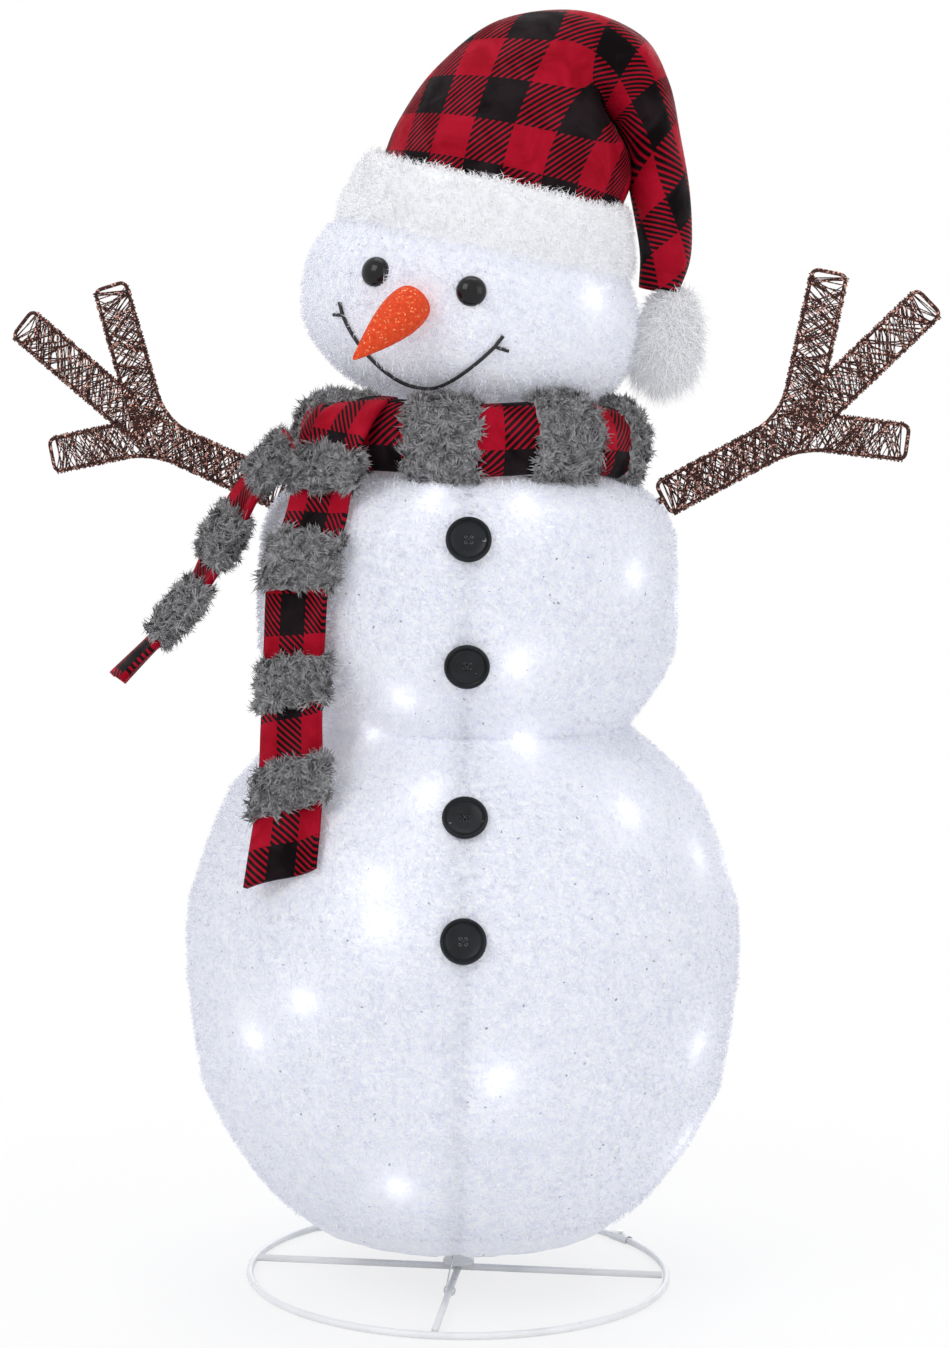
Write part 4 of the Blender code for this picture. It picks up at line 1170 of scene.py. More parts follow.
    def link(self, centre: Vector, along: Vector, side: Vector) -> list[Vector]:
        """Points round an oblong link.

        Args:
            centre: Its middle.
            along: Its long way.
            side: Its wide way.

        Returns:
            The points.
        """
        points = []
        for end in (1, -1):
            for step in range(9):
                turn = math.pi / 2 * (1 - step / 4) + (0.0 if end > 0 else math.pi)
                points.append(centre + along * (end * self.link_half)
                              + (side * math.sin(turn) + along * math.cos(turn)) * self.link_bend)
        return points


@dataclass(frozen=True)
class Spot:
    """A light that shines through the plush: turn from the front in degrees, and height."""

    turn: float
    height: float

    def away(self, places: np.ndarray) -> np.ndarray:
        """How far places on a round body are from the light, along the body's skin.

        Args:
            places: A table of places.

        Returns:
            Their distances.
        """
        side = np.arctan2(places[:, 1], places[:, 0]) - math.radians(self.turn) + math.pi / 2
        side = (side + math.pi) % FULL_TURN - math.pi
        return np.hypot(side * np.hypot(places[:, 0], places[:, 1]), places[:, 2] - self.height)


class CoverLine(Enum):
    """Profiles of the two body covers through their hoops, as radius and height."""

    LOWER = ((0.167, 0.080), (0.185, 0.085), (0.244, 0.146), (0.299, 0.245), (0.318, 0.370), (0.315, 0.463),
             (0.268, 0.588), (0.182, 0.6707))
    MIDDLE = ((0.182, 0.6713), (0.235, 0.760), (0.234, 0.896), (0.203, 0.944), (0.138, 0.972), (0.124, 0.984))


@dataclass
class Body:
    """Plush covers over the hoops, with the lights' glow and the coat buttons."""

    wear: Wardrobe
    skin_offset: float = 0.0066
    wall: float = 0.004
    columns: int = 168
    hoop_levels: tuple[float, ...] = (0.245, 0.370, 0.463, 0.588, 0.760, 0.896)
    hoop_ridge: float = 0.0026
    ridge_width: float = 0.008
    seam_depth: float = 0.0022
    seam_width: float = 0.006
    pucker_depth: float = 0.0012
    pile_length: float = 0.0085
    pile_width: float = 0.0012
    bare_hem: float = 0.014
    base_glow: float = 0.15
    # Painted shadow of the pole inside: a darker band of glow down the front, with its offset, width and
    # dimming.
    pole_shadow_shift: float = 0.006
    pole_shadow_width: float = 0.012
    pole_shadow_dim: float = 0.7
    button_levels: tuple[float, ...] = (0.896, 0.760, 0.588, 0.463)
    button_bodies: tuple[str, ...] = ("shoulder", "rib", "upper", "chest")
    button_line: tuple[tuple[float, float], ...] = (
        (0.0, 0.0), (0.86, 0.0), (0.97, 0.22), (1.0, 0.5), (0.985, 0.82), (0.94, 1.0), (0.87, 0.97),
        (0.82, 0.70), (0.78, 0.60), (0.74, 0.66), (0.70, 0.60), (0.40, 0.48), (0.0, 0.46))
    button_radius: float = 0.0255
    button_thick: float = 0.0075
    button_lift: float = 0.0008
    hole_reach: float = 0.0043
    hole_radius: float = 0.0021
    thread_radius: float = 0.0009
    stitch_rise: float = 0.0044
    stitch_top: float = 0.0050
    front_spots: tuple[Spot, ...] = (
        Spot(-11, 0.944), Spot(16, 0.935), Spot(50, 0.857), Spot(13, 0.759), Spot(-19, 0.718),
        Spot(-34, 0.672), Spot(19, 0.665), Spot(-10, 0.615), Spot(42, 0.590), Spot(63, 0.534),
        Spot(-19, 0.521), Spot(-17, 0.478), Spot(-33, 0.387), Spot(-47, 0.333), Spot(7, 0.310),
        Spot(57, 0.321), Spot(65, 0.194), Spot(-15, 0.176))
    rear_levels: tuple[float, ...] = (0.17, 0.28, 0.39, 0.50, 0.60, 0.72, 0.82, 0.92)
    rear_turns: tuple[float, ...] = tuple(84.0 + 27.0 * step for step in range(7))
    rear_stagger: float = 9.0
    rear_wander: float = 0.016

    def build(self) -> None:
        """Make the covers and their pile, and sew on the buttons."""
        seats = [self.button_seat(level) for level in self.button_levels]
        bare = [(seat.to_translation(), self.button_radius * 0.92) for seat in seats]
        self.cover("lower_body", CoverLine.LOWER, 96, 46000, bare)
        self.cover("middle_body", CoverLine.MIDDLE, 64, 24000, bare)
        for number, (seat, body) in enumerate(zip(seats, self.button_bodies)):
            self.button(number + 1, seat, body)

    def skin(self, line: CoverLine) -> list[tuple[Vector, Vector]]:
        """Places and outward normals up a cover's outside, in the X-Z plane.

        Args:
            line: The cover's profile.

        Returns:
            Pairs of a place and its normal.
        """
        path = smooth_path(stood_up(line.value), 12)
        skin = []
        for index, place in enumerate(path):
            ahead = path[min(index + 1, len(path) - 1)] - path[max(index - 1, 0)]
            out = Vector((ahead.z, 0, -ahead.x)).normalized()
            skin.append((place + out * self.skin_offset, out))
        return skin

    def spots(self) -> list[Spot]:
        """The lights seen from the front, and evenly set ones round the back.

        Returns:
            The lights.
        """
        found = list(self.front_spots)
        for row, level in enumerate(self.rear_levels):
            for step, turn in enumerate(self.rear_turns):
                height = level + self.rear_wander * math.sin(5 * step + row)
                found.append(Spot(turn + self.rear_stagger * (row % 3), height))
        return found

    def cover(self, name: str, line: CoverLine, rows: int, fibres: int,
              bare: list[tuple[Vector, float]]) -> None:
        """One plush cover.

        Args:
            name: Name stem of the CAD node.
            line: Its profile.
            rows: Squares up its height.
            fibres: Fibres of its pile.
            bare: Places under buttons, where the pile is pressed flat.
        """
        skin = self.skin(line)
        path = [place for place, _ in skin]
        outs = [out for _, out in skin]

        def place(across: float, along: float) -> Vector:
            """A point of the cover, with hoop ridges and the front seam."""
            point = along_path(path, along)
            out = along_path(outs, along)
            ridge = sum(math.exp(-((point.z - level) / self.ridge_width) ** 2) for level in self.hoop_levels)
            turn = FULL_TURN * across + math.pi / 2
            front = (across - 0.5) * FULL_TURN * point.x
            groove = math.exp(-(front / self.seam_width) ** 2) * self.seam_depth
            pucker = self.pucker_depth * noise.noise(round_z(9, turn, point.z * 22))
            point = point + out * (ridge * self.hoop_ridge - groove + pucker)
            return round_z(point.x, turn, point.z)

        length = path_length(path)
        widest = FULL_TURN * max(point.x for point in path)
        shape = cloth_grid(self.columns, rows, place, plain_weave(widest, length))
        area = cloth_area(shape)
        node = name + "_cover"
        made = piece(node + "_plush", shape, self.wear.plush, "stand", [node])
        light_up(made, self.shine)
        fibre = Pile(fibres, self.pile_length, self.pile_width, 0.75, 0.7, 3, lowest=BOTTOM_Z + self.bare_hem)
        pile = fibre.comb(node + "_pile", made, self.wear.plush, "stand", bare)
        solidify(made, self.wall)
        for soft in (made, pile):
            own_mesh(soft)

    def shine(self, places: np.ndarray) -> np.ndarray:
        """How brightly places of a cover are lit from inside, with a painted shadow of the pole as a darker
        band down the front.

        Args:
            places: A table of places.

        Returns:
            Their levels.
        """
        glow = np.full(len(places), self.base_glow)
        for spot in self.spots():
            glow += spot_glow(spot.away(places))
        # Painted shadow: the pole inside dims the glow in a band down the front.
        band = np.exp(-((places[:, 0] + self.pole_shadow_shift) / self.pole_shadow_width) ** 2) * (places[:, 1] < 0)
        return glow * (1.0 - self.pole_shadow_dim * band)

    def button_seat(self, level: float) -> Matrix:
        """Where a button sits on the front of a cover, with +Z out of the plush.

        Args:
            level: The button's height.

        Returns:
            Its place and aim.
        """
        line = CoverLine.LOWER if level < WAIST_Z else CoverLine.MIDDLE
        place, out = min(self.skin(line), key=lambda pair: abs(pair[0].z - level))
        way = Vector((0, -out.x, out.z))
        return Matrix.Translation(Vector((0, -place.x, place.z)) + way * self.button_lift) @ aimed(way)

    def button(self, number: int, seat: Matrix, body: str) -> None:
        """A four-hole coat button with a rolled rim and crossed thread.

        Args:
            number: Its place from the top.
            seat: Its place and aim.
            body: The CAD body of its hoop.
        """
        profile = [(across * self.button_radius, up * self.button_thick) for across, up in self.button_line]
        target = bpy.data.objects.new("blank", bpy.data.meshes.new("blank"))
        bpy.context.scene.collection.objects.link(target)
        blank = spun(profile, 48)
        blank.to_mesh(target.data)
        blank.free()
        helpers = []
        holes = [round_z(self.hole_reach, FULL_TURN * (corner + 0.5) / 4, 0) for corner in range(4)]
        for hole in holes:
            cutter = bpy.data.objects.new("cutter", bpy.data.meshes.new("cutter"))
            bar = rod(hole - UP * 0.002, hole + UP * 0.010, self.hole_radius, 14)
            bar.to_mesh(cutter.data)
            bar.free()
            bpy.context.scene.collection.objects.link(cutter)
            change = target.modifiers.new("hole", "BOOLEAN")
            change.object = cutter
            helpers.append(cutter)
        bpy.context.view_layer.update()
        mesh = bpy.data.meshes.new_from_object(target.evaluated_get(bpy.context.evaluated_depsgraph_get()))
        for helper in (target, *helpers):
            bpy.data.objects.remove(helper, do_unlink=True)
        mesh.transform(seat)
        mesh.shade_smooth()
        mesh.set_sharp_from_angle(angle=math.radians(40.0))
        name = "button_%d" % number
        piece(name + "_coat", mesh, self.wear.plastic, body, [name])
        runs = []
        for first, last in ((holes[0], holes[2]), (holes[1], holes[3])):
            rise = UP * self.stitch_rise
            run = [first, first + rise, (first + last) / 2 + UP * self.stitch_top, last + rise, last]
            runs.append([seat @ place for place in smooth_path(run, 4)])
        mesh = wire("thread", runs, self.thread_radius)
        piece(name + "_thread", mesh, self.wear.thread, body)


@dataclass
class Arms:
    """Plug-in arms: a bent wire outline wound with glittery string."""

    wear: Wardrobe
    half: float = 0.020
    wire_radius: float = 0.0024
    string_radius: float = 0.00078
    trunk_pitches: tuple[float, ...] = (0.0044, -0.0056)
    branch_pitches: tuple[float, ...] = (0.0034, -0.0038, 0.0066)
    long_pitches: tuple[float, ...] = (0.0066, -0.0074)
    fork_bend: float = 0.040
    tip_bend: float = 0.009
    crotch_bend: float = 0.006
    slant: float = 0.020
    lean: float = 0.013
    first_turn: float = 0.005
    end_room: float = 0.012
    string_margin: tuple[float, float] = (0.003, 0.006)
    turns: tuple[float, float] = (math.radians(-6.0), math.radians(169.0))
    droops: tuple[float, float] = (0.0, math.radians(6.0))
    shoulder: tuple[float, float] = (0.230, 0.941)
    fork: tuple[float, float] = (0.383, 1.025)
    tips: tuple[tuple[float, float], ...] = ((0.512, 1.011), (0.533, 1.174), (0.418, 1.207))
    peg_radius: float = 0.004
    peg_length: float = 0.058
    peg_round: float = 0.0008

    def build(self) -> None:
        """Make both arms."""
        for side, heading, droop in zip(("right", "left"), self.turns, self.droops):
            self.arm(side, heading, droop)

    def arm(self, side: str, heading: float, droop: float) -> None:
        """One arm.

        Args:
            side: Which side it is on.
            heading: Its turn about the pole.
            droop: How far it hangs below the drawn angle.
        """
        stand_up = Matrix.Rotation(heading, 4, "Z") @ Matrix.Rotation(math.pi / 2, 4, "X")
        start = Vector(self.shoulder)
        swing = Matrix.Rotation(-droop, 2)
        fork = start + swing @ (Vector(self.fork) - start)
        tips = [start + swing @ (Vector(tip) - start) for tip in self.tips]
        name = "arm_" + side
        way = (fork - start).normalized()
        root = stand_up @ (start - way * self.peg_length).to_3d()
        joined = rod(root, stand_up @ start.to_3d(), self.peg_radius, 16, self.peg_round)
        outline = [stand_up @ point.to_3d() for point in self.outline(start, fork, tips)]
        joined.from_mesh(wire("bent", [outline], self.wire_radius, cyclic=True))
        piece(name + "_outline", joined, self.wear.string, name, [name + "_frame"])
        runs = [self.winding([start, fork], pitch, 1) for pitch in self.trunk_pitches]
        for index, tip in enumerate(tips):
            runs += [self.winding([fork, tip], pitch, 2 + index) for pitch in self.branch_pitches]
            whole = [start, *self.rounded(start, fork, tip, self.fork_bend), tip]
            runs += [self.winding(whole, pitch, 5 + index) for pitch in self.long_pitches]
        runs = [[stand_up @ point for point in run] for run in runs]
        mesh = wire("winding", runs, self.string_radius, facets=0)
        piece(name + "_string", mesh, self.wear.string, name, [name + "_winding"])

    def outline(self, start: Vector, fork: Vector, tips: list[Vector]) -> list[Vector]:
        """The arm's rim, walked from the shoulder's lower corner, with rounded corners.

        Args:
            start: The arm's root.
            fork: Where it branches.
            tips: Ends of its branches.

        Returns:
            The points.
        """
        trunk = (fork - start).normalized()
        lean = Vector((-trunk.y, trunk.x)) * self.half
        corners = [start - lean]
        rounding = [self.tip_bend]
        edge, edge_way = start - lean, trunk
        for tip in tips:
            way = (tip - fork).normalized()
            side = Vector((-way.y, way.x)) * self.half
            corners += [self.crossing(edge, edge_way, fork - side, way), tip - side, tip + side]
            rounding += [self.crotch_bend if tip != tips[0] else self.fork_bend, self.tip_bend, self.tip_bend]
            edge, edge_way = fork + side, way
        corners += [self.crossing(edge, edge_way, start + lean, trunk), start + lean]
        rounding += [self.fork_bend, self.tip_bend]
        points = []
        for index, corner in enumerate(corners):
            following = corners[(index + 1) % len(corners)]
            points += self.rounded(corners[index - 1], corner, following, rounding[index])
        return points

    @staticmethod
    def rounded(before: Vector, corner: Vector, after: Vector, reach: float) -> list[Vector]:
        """Points of a corner rounded off over a reach to each side.

        Args:
            before: The point before.
            corner: The corner.
            after: The point after.
            reach: How far the bend reaches.

        Returns:
            The points.
        """
        back = corner + (before - corner).normalized() * reach
        ahead = corner + (after - corner).normalized() * reach
        shares = [step / 6 for step in range(7)]
        return [back.lerp(corner, share).lerp(corner.lerp(ahead, share), share) for share in shares]

    @staticmethod
    def crossing(first: Vector, first_way: Vector, second: Vector, second_way: Vector) -> Vector:
        """Where two lines of a drawing cross.

        Args:
            first: A point of one line.
            first_way: Its direction.
            second: A point of the other.
            second_way: Its direction.

        Returns:
            The crossing.
        """
        gap = second - first
        spread = first_way.x * second_way.y - first_way.y * second_way.x
        return first + first_way * ((gap.x * second_way.y - gap.y * second_way.x) / spread)

    def winding(self, route: Sequence[Vector], pitch: float, seed: int) -> list[Vector]:
        """A string wound round part of the arm and its rim wires.

        Args:
            route: Middle line of that part.
            pitch: Advance of half a turn, negative to wind from the tip back.
            seed: Varies the slant of the turns.

        Returns:
            Points of the string, flat in X-Y with the winding's front and back in Z.
        """
        spans = [(far - near).length for near, far in zip(route, route[1:])]
        length = sum(spans)
        wound = length - self.end_room
        nearest, farthest = self.string_margin
        face = self.wire_radius + self.string_radius
        rim = self.half + face
        points = []
        for turn in range(int(wound / abs(pitch))):
            wander = noise.noise(Vector((turn * 0.9, seed * 7.3, pitch * 900.0))) * self.slant
            edge = 1 if turn % 2 else -1
            gone = turn * abs(pitch)
            square_end = min(1.0, gone / self.half, max(0.0, wound - gone) / self.half)
            reach = self.first_turn + gone + wander * (0.3 + 0.7 * square_end) + edge * self.lean * square_end
            reach = min(max(reach, nearest), length - farthest)
            left = reach if pitch > 0 else length - reach
            part = 0
            while part < len(spans) - 1 and left > spans[part]:
                left -= spans[part]
                part += 1
            way = (route[part + 1] - route[part]).normalized()
            for depth, level in ((self.half, edge * face), (rim, 0.0), (self.half, -edge * face)):
                flat = route[part] + way * left + Vector((-way.y, way.x)) * (edge * depth)
                points.append(Vector((flat.x, flat.y, level)))
        return points


@dataclass
class FurBand:
    """A band of curled fur sewn round a soft piece, with loose curls standing on it."""

    wear: Wardrobe
    curls: int = 5200
    curl_length: float = 0.012
    curl_width: float = 0.0021
    locks: float = 85.0
    tufts: tuple[tuple[float, float, float], ...] = ((85.0, 0.0042, 0.0), (190.0, 0.0026, 5.0))

    def build(self, name: str, shape: bmesh.types.BMesh, body: str, seed: int) -> list[bpy.types.Object]:
        """Finish a band.

        Args:
            name: The band's name.
            shape: Its swollen form.
            body: The CAD body that it moves with.
            seed: Varies its curls.

        Returns:
            The band and its curls.
        """
        for scale, depth, shift in self.tufts:
            lumpy(shape, scale, depth, seed + shift)
        band = piece(name, shape, self.wear.fur, body)
        pile = Pile(self.curls, self.curl_length, self.curl_width, 0.6, 1.0, seed, locks=self.locks)
        return [band, pile.comb(name + "_curls", band, self.wear.fur, body)]


@dataclass
class Scarf:
    """Check scarf with fur bands: the wrap round the neck, its knot and two hanging ends."""

    wear: Wardrobe
    section: tuple[tuple[float, float], ...] = (
        (0.150, 0.990), (0.168, 0.975), (0.186, 0.968), (0.197, 0.975), (0.202, 0.998), (0.200, 1.022),
        (0.190, 1.042), (0.174, 1.050), (0.158, 1.046), (0.148, 1.030), (0.145, 1.010))
    fur_starts: tuple[float, ...] = tuple(-22.0 + 45.0 * step for step in range(8))
    fur_sweep: float = 25.0
    fur_swell: float = 0.008
    fur_tuck: float = 0.001
    fur_round: float = 0.35
    gather: float = 0.0022
    wave: float = 0.0025
    tail_width: float = 0.082
    tail_thick: float = 0.007
    tail_flare: tuple[float, float] = (0.80, 0.24)
    tail_folds: tuple[float, float] = (0.0050, 0.0022)
    tail_skew: float = 0.10
    end_skew: float = 0.18
    sleeve_reach: float = 0.60
    tail_curls: int = 4200
    row_height: float = 0.839
    row_edge: float = 0.993
    row_reach: float = 0.19
    column_shift: float = 0.030
    wrap_stretch: float = 0.155
    front_route: tuple[tuple[float, float, float], ...] = (
        (-0.112, -0.130, 1.050), (-0.130, -0.160, 1.040), (-0.150, -0.174, 1.006), (-0.162, -0.180, 0.966),
        (-0.172, -0.188, 0.915), (-0.189, -0.197, 0.860), (-0.194, -0.196, 0.780),
        (-0.196, -0.202, 0.690), (-0.196, -0.220, 0.610), (-0.204, -0.250, 0.520))
    side_route: tuple[tuple[float, float, float], ...] = (
        (-0.2025, -0.1109, 1.005), (-0.250, -0.099, 0.950), (-0.284, -0.086, 0.890), (-0.330, -0.076, 0.808),
        (-0.408, -0.066, 0.725))
    front_bands: tuple[tuple[float, float], ...] = (
        (0.998, 0.949), (0.901, 0.844), (0.765, 0.710), (0.645, 0.596))
    side_bands: tuple[tuple[float, float], ...] = ((1.002, 0.957), (0.924, 0.866), (0.840, 0.778))
    knot_turn: float = math.radians(219.0)
    knot_centre: tuple[float, float] = (0.2038, 1.001)
    knot_half: tuple[float, float, float] = (0.026, 0.050, 0.044)
    knot_pleat: float = 0.07

    def build(self) -> None:
        """Make the wrap, the knot and both ends."""
        self.wrap()
        self.knot()
        self.tail("scarf_front_tail", self.front_route, self.front_bands, 21, 0.65)
        self.tail("scarf_side_tail", self.side_route, self.side_bands, 31, 0.75)

    def wrap(self) -> None:
        """The stuffed ring of check cloth and its fur bands."""
        section = smooth_path(stood_up((*self.section, self.section[0])), 4)

        def place(across: float, along: float) -> Vector:
            """A point of the wrap, with gathers that run round it."""
            turn = FULL_TURN * across
            point = along_path(section, along)
            sway = math.sin(FULL_TURN * along)
            fold = self.gather * math.sin(9 * turn + 3 * sway) * sway
            return round_z(point.x + fold, turn, point.z + self.wave * math.sin(5 * turn))

        girth = path_length(section)
        seam = next(index for index, point in enumerate(section)
                    if point.x > self.row_reach and point.z > self.row_edge)

        def weave(across: float, along: float) -> tuple[float, float]:
            """Flat place of a point, with a row's edge on the front of the wrap."""
            return (self.column_shift - (across - 0.75) * FULL_TURN * self.wrap_stretch,
                    2 * CELL_ALONG + girth * (along - seam / (len(section) - 1)))

        shape = cloth_grid(180, 40, place, weave)
        made = piece("scarf_wrap_cloth", shape, self.wear.check, "mast", ["scarf_wrap"])
        middle = sum(section[:-1], Vector()) / len(section[:-1])
        for number, start in enumerate(self.fur_starts):

            def swollen(across: float, along: float, start: float = start) -> Vector:
                """A point of a fur band, fuller than the cloth under it."""
                turn = math.radians(start + self.fur_sweep * across - 90.0)
                point = along_path(section, along)
                ends = math.sin(math.pi * as_share(across)) ** self.fur_round
                out = (point - middle).normalized() * (self.fur_swell * ends - self.fur_tuck)
                return round_z(point.x + out.x, turn, point.z + out.z + self.wave * math.sin(5 * turn))

            band = cloth_grid(22, 60, swollen, plain_weave(0.09, girth))
            FurBand(self.wear).build("scarf_wrap_fur_%d" % (number + 1), band, "mast", 40 + number)

    def knot(self) -> None:
        """The fold of cloth at the side that holds both ends."""
        shape = bmesh.new()
        bmesh.ops.create_icosphere(shape, subdivisions=5, radius=1.0)
        weave = shape.loops.layers.uv.new(WEAVE_MAP)
        thick, across, tall = self.knot_half
        for vert in shape.verts:
            pleat = 1.0 + self.knot_pleat * math.sin(9.0 * vert.co.y + 1.5 * vert.co.z)
            vert.co = Vector((vert.co.x * thick * pleat, vert.co.y * across, vert.co.z * tall * (2 - pleat)))
        for face in shape.faces:
            for loop in face.loops:
                loop[weave].uv = (loop.vert.co.y, loop.vert.co.z)
        reach, height = self.knot_centre
        turned = Matrix.Rotation(self.knot_turn, 4, "Z")
        seat = Matrix.Translation(round_z(reach, self.knot_turn, height))
        bmesh.ops.transform(shape, matrix=seat @ turned, verts=shape.verts)
        made = piece("scarf_knot_cloth", shape, self.wear.check, "mast", ["scarf_knot"])

    def tail(self, node: str, route: Sequence[tuple[float, float, float]],
             bands: Sequence[tuple[float, float]], seed: int, facing: float) -> None:
        """A hanging end of check cloth with its fur bands.

        Args:
            node: The CAD node that it stands for.
            route: Points down its middle.
            bands: Heights where fur starts and stops.
            seed: Varies its fur.
            facing: One where it faces straight out, less where it turns to the front.
        """
        path = smooth_path([Vector(place) for place in route], 14)
        length = path_length(path)
        steps = np.cumsum([0.0, *((far - near).length for near, far in zip(path, path[1:]))])
        base, flare = self.tail_flare
        swing, ripple = self.tail_folds

        def gone(along: float) -> float:
            """Length of cloth from the route's start to a share of it."""
            return float(np.interp(along * (len(path) - 1), np.arange(len(path)), steps))

        def share_at(height: float) -> float:
            """Share of the route where it first sinks to a height."""
            below = next(index for index, place in enumerate(path) if place.z <= height)
            return below / (len(path) - 1)

        def surface(across: float, along: float) -> tuple[Vector, Vector]:
            """A point of the cloth's middle layer and the way out of it."""
            place = along_path(path, along)
            ahead = (along_path(path, along + 0.02) - along_path(path, along - 0.02)).normalized()
            level = Vector((place.y, -place.x * facing, 0)).normalized()
            side = (level - ahead * level.dot(ahead)).normalized()
            face = side.cross(ahead).normalized()
            off_middle = across - 0.5
            wide = self.tail_width * (base + flare * along) * off_middle
            fold = swing * along * math.sin(FULL_TURN * off_middle)
            fold += ripple * math.sin(9.0 * along + 4.0 * across)
            skew = wide * (self.tail_skew + self.end_skew * along ** 4)
            return place + side * wide + ahead * skew + face * fold, face

        def weave(across: float, along: float) -> tuple[float, float]:
            """Flat place of a point, with a dark stripe down the middle and a dark row at a chosen height."""
            return ((across - 0.5) * self.tail_width + 1.5 * CELL_ACROSS,
                    gone(along) - gone(share_at(self.row_height)) + CELL_ALONG)

        shape = cloth_grid(16, 110, lambda across, along: surface(across, along)[0], weave)
        made = piece(node + "_cloth", shape, self.wear.check, "mast", [node])
        solidify(made, self.tail_thick, 0.0)
        pieces = []
        for number, (high, low) in enumerate(bands):

            def around(across: float, along: float, start: float = share_at(high),
                       stop: float = share_at(low)) -> Vector:
                """A point of a fur sleeve round the cloth."""
                turn = FULL_TURN * across
                flat = 0.5 + self.sleeve_reach * math.cos(turn)
                place, face = surface(flat, start + (stop - start) * along)
                ends = math.sin(math.pi * as_share(along)) ** self.fur_round
                thick = self.tail_thick / 2 + self.fur_tuck + self.fur_swell * ends
                return place + face * (math.sin(turn) * thick)

            band = cloth_grid(44, 26, around, plain_weave(0.18, high - low))
            name = "%s_fur_%d" % (node, number + 1)
            pieces += FurBand(self.wear, self.tail_curls).build(name, band, "mast", seed + number)
        for soft in (made, *pieces):
            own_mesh(soft)


@dataclass
class Head:
    """Plush head on its turning sleeve, with eyes, carrot nose and stitched smile."""

    wear: Wardrobe
    centre: tuple[float, float, float] = (0.0, 0.0, 1.166)
    radius: float = 0.197
    half_height: float = 0.130
    opening: float = 0.062
    wall: float = 0.004
    turn: float = math.radians(-17.5)
    roll: float = math.radians(11.5)
    jowl: float = 2.5
    eye_across: float = 0.0575
    eye_up: float = 0.005
    eye_radius: float = 0.017
    eye_depth: float = 0.012
    eye_sunk: float = 0.002
    eye_clear: dict[str, float] = field(default_factory=lambda: {"left": 0.82, "right": 0.98})
    nose_way: tuple[float, float, float] = (-0.324, -0.589, -0.740)
    nose_up: float = -0.022
    nose_length: float = 0.100
    nose_radius: float = 0.024
    nose_sunk: float = 0.012
    nose_line: tuple[tuple[float, float], ...] = (
        (0.0, 0.0), (0.66, 0.012), (0.90, 0.06), (1.0, 0.16), (1.0, 0.28), (0.93, 0.40), (0.76, 0.56),
        (0.52, 0.73), (0.28, 0.88), (0.14, 0.96), (0.05, 0.995), (0.0, 1.0))
    nose_seam: float = 0.07
    mouth_reach: float = math.radians(28.5)
    mouth_corner: float = -0.048
    mouth_dip: float = 0.060
    tick: float = 0.013
    stitch_radius: float = 0.0021
    stitch_lift: float = 0.0030
    stitch_clear: tuple[float, float] = (0.0028, 0.0055)
    base_glow: float = 0.20
    lamp: tuple[float, float] = (math.radians(62.0), 0.030)
    pile_length: float = 0.0095
    pile_width: float = 0.0012

    def tilt(self) -> Matrix:
        """Frame of the hat: the head's centre, leaned to its side."""
        return Matrix.Translation(self.centre) @ Matrix.Rotation(self.roll, 4, "Y")

    def frame(self) -> Matrix:
        """Frame of the face, turned to where it looks."""
        return self.tilt() @ Matrix.Rotation(self.turn, 4, "Z")

    def skin(self, turn: float, up: float, proud: float = 0.0) -> tuple[Vector, Vector]:
        """A point on the head and the way out of it, in the face's frame.

        Args:
            turn: Angle from the front.
            up: Height above the head's middle.
            proud: Distance off the skin.

        Returns:
            The point and the outward normal.
        """
        power = 2.0 if up > 0 else self.jowl
        level = abs(up / self.half_height)
        across = max(0.0, 1 - level ** power) ** (1 / power)
        climb = math.copysign(level ** (power - 1) / self.half_height, up)
        out = round_z(across ** (power - 1) / self.radius, turn - math.pi / 2, climb).normalized()
        return round_z(across * self.radius, turn - math.pi / 2, up) + out * proud, out

    def build(self) -> None:
        """Make the head and its face."""
        seats = self.eyes()
        nose = self.nose()
        smile = self.smile()
        self.cover(seats + nose + smile)

    def cover(self, bare: list[tuple[Vector, float]]) -> None:
        """The plush ball, open underneath, and its pile.

        Args:
            bare: Centres and radii of places where no pile grows.
        """
        lowest = -((1 - (self.opening / self.radius) ** self.jowl) ** (1 / self.jowl))
        start = math.asin(lowest)

        def place(across: float, along: float) -> Vector:
            """A point of the ball."""
            climb = start + (math.pi / 2 - start) * along
            point, out = self.skin(FULL_TURN * (across - 0.5), self.half_height * math.sin(climb))
            return self.frame() @ (point + out * (0.0016 * noise.noise(point * 18.0)))

        length = 0.5 * (self.radius + self.half_height) * (math.pi / 2 - start)
        shape = cloth_grid(120, 72, place, plain_weave(FULL_TURN * self.radius, length))
        area = cloth_area(shape)
        made = piece("head_cover_plush", shape, self.wear.plush, "head", ["head_cover"])
        lamp = np.array(self.frame() @ self.skin(*self.lamp)[0])
        light_up(made, lambda places: self.base_glow + spot_glow(np.linalg.norm(places - lamp, axis=1)))
        pile = Pile(17000, self.pile_length, self.pile_width, 0.75, 0.7, 8).comb(
            "head_cover_pile", made, self.wear.plush, "head", bare)
        solidify(made, self.wall)

    def eyes(self) -> list[tuple[Vector, float]]:
        """Two glossy domes.

        Returns:
            Centres and radii of the places under them.
        """
        seats = []
        for side, across in (("left", -self.eye_across), ("right", self.eye_across)):
            turn = math.asin(across / self.skin(0.0, self.eye_up)[0].xy.length)
            seat, out = self.skin(turn, self.eye_up, 0.0004)
            climbs = [math.pi / 2 * step / 12 for step in range(12)]
            dome = [(self.eye_radius * math.cos(climb), self.eye_depth * math.sin(climb)) for climb in climbs]
            back = [(0, -self.eye_sunk), (self.eye_radius, -self.eye_sunk)]
            shape = spun([*back, *dome, (0, self.eye_depth)], 40)
            aim = self.frame() @ Matrix.Translation(seat) @ aimed(out)
            bmesh.ops.transform(shape, matrix=aim, verts=shape.verts)
            piece("eye_%s_dome" % side, shape, self.wear.eye, "head", ["eye_" + side])
            seats.append((aim.to_translation(), self.eye_radius * self.eye_clear[side]))
        return seats

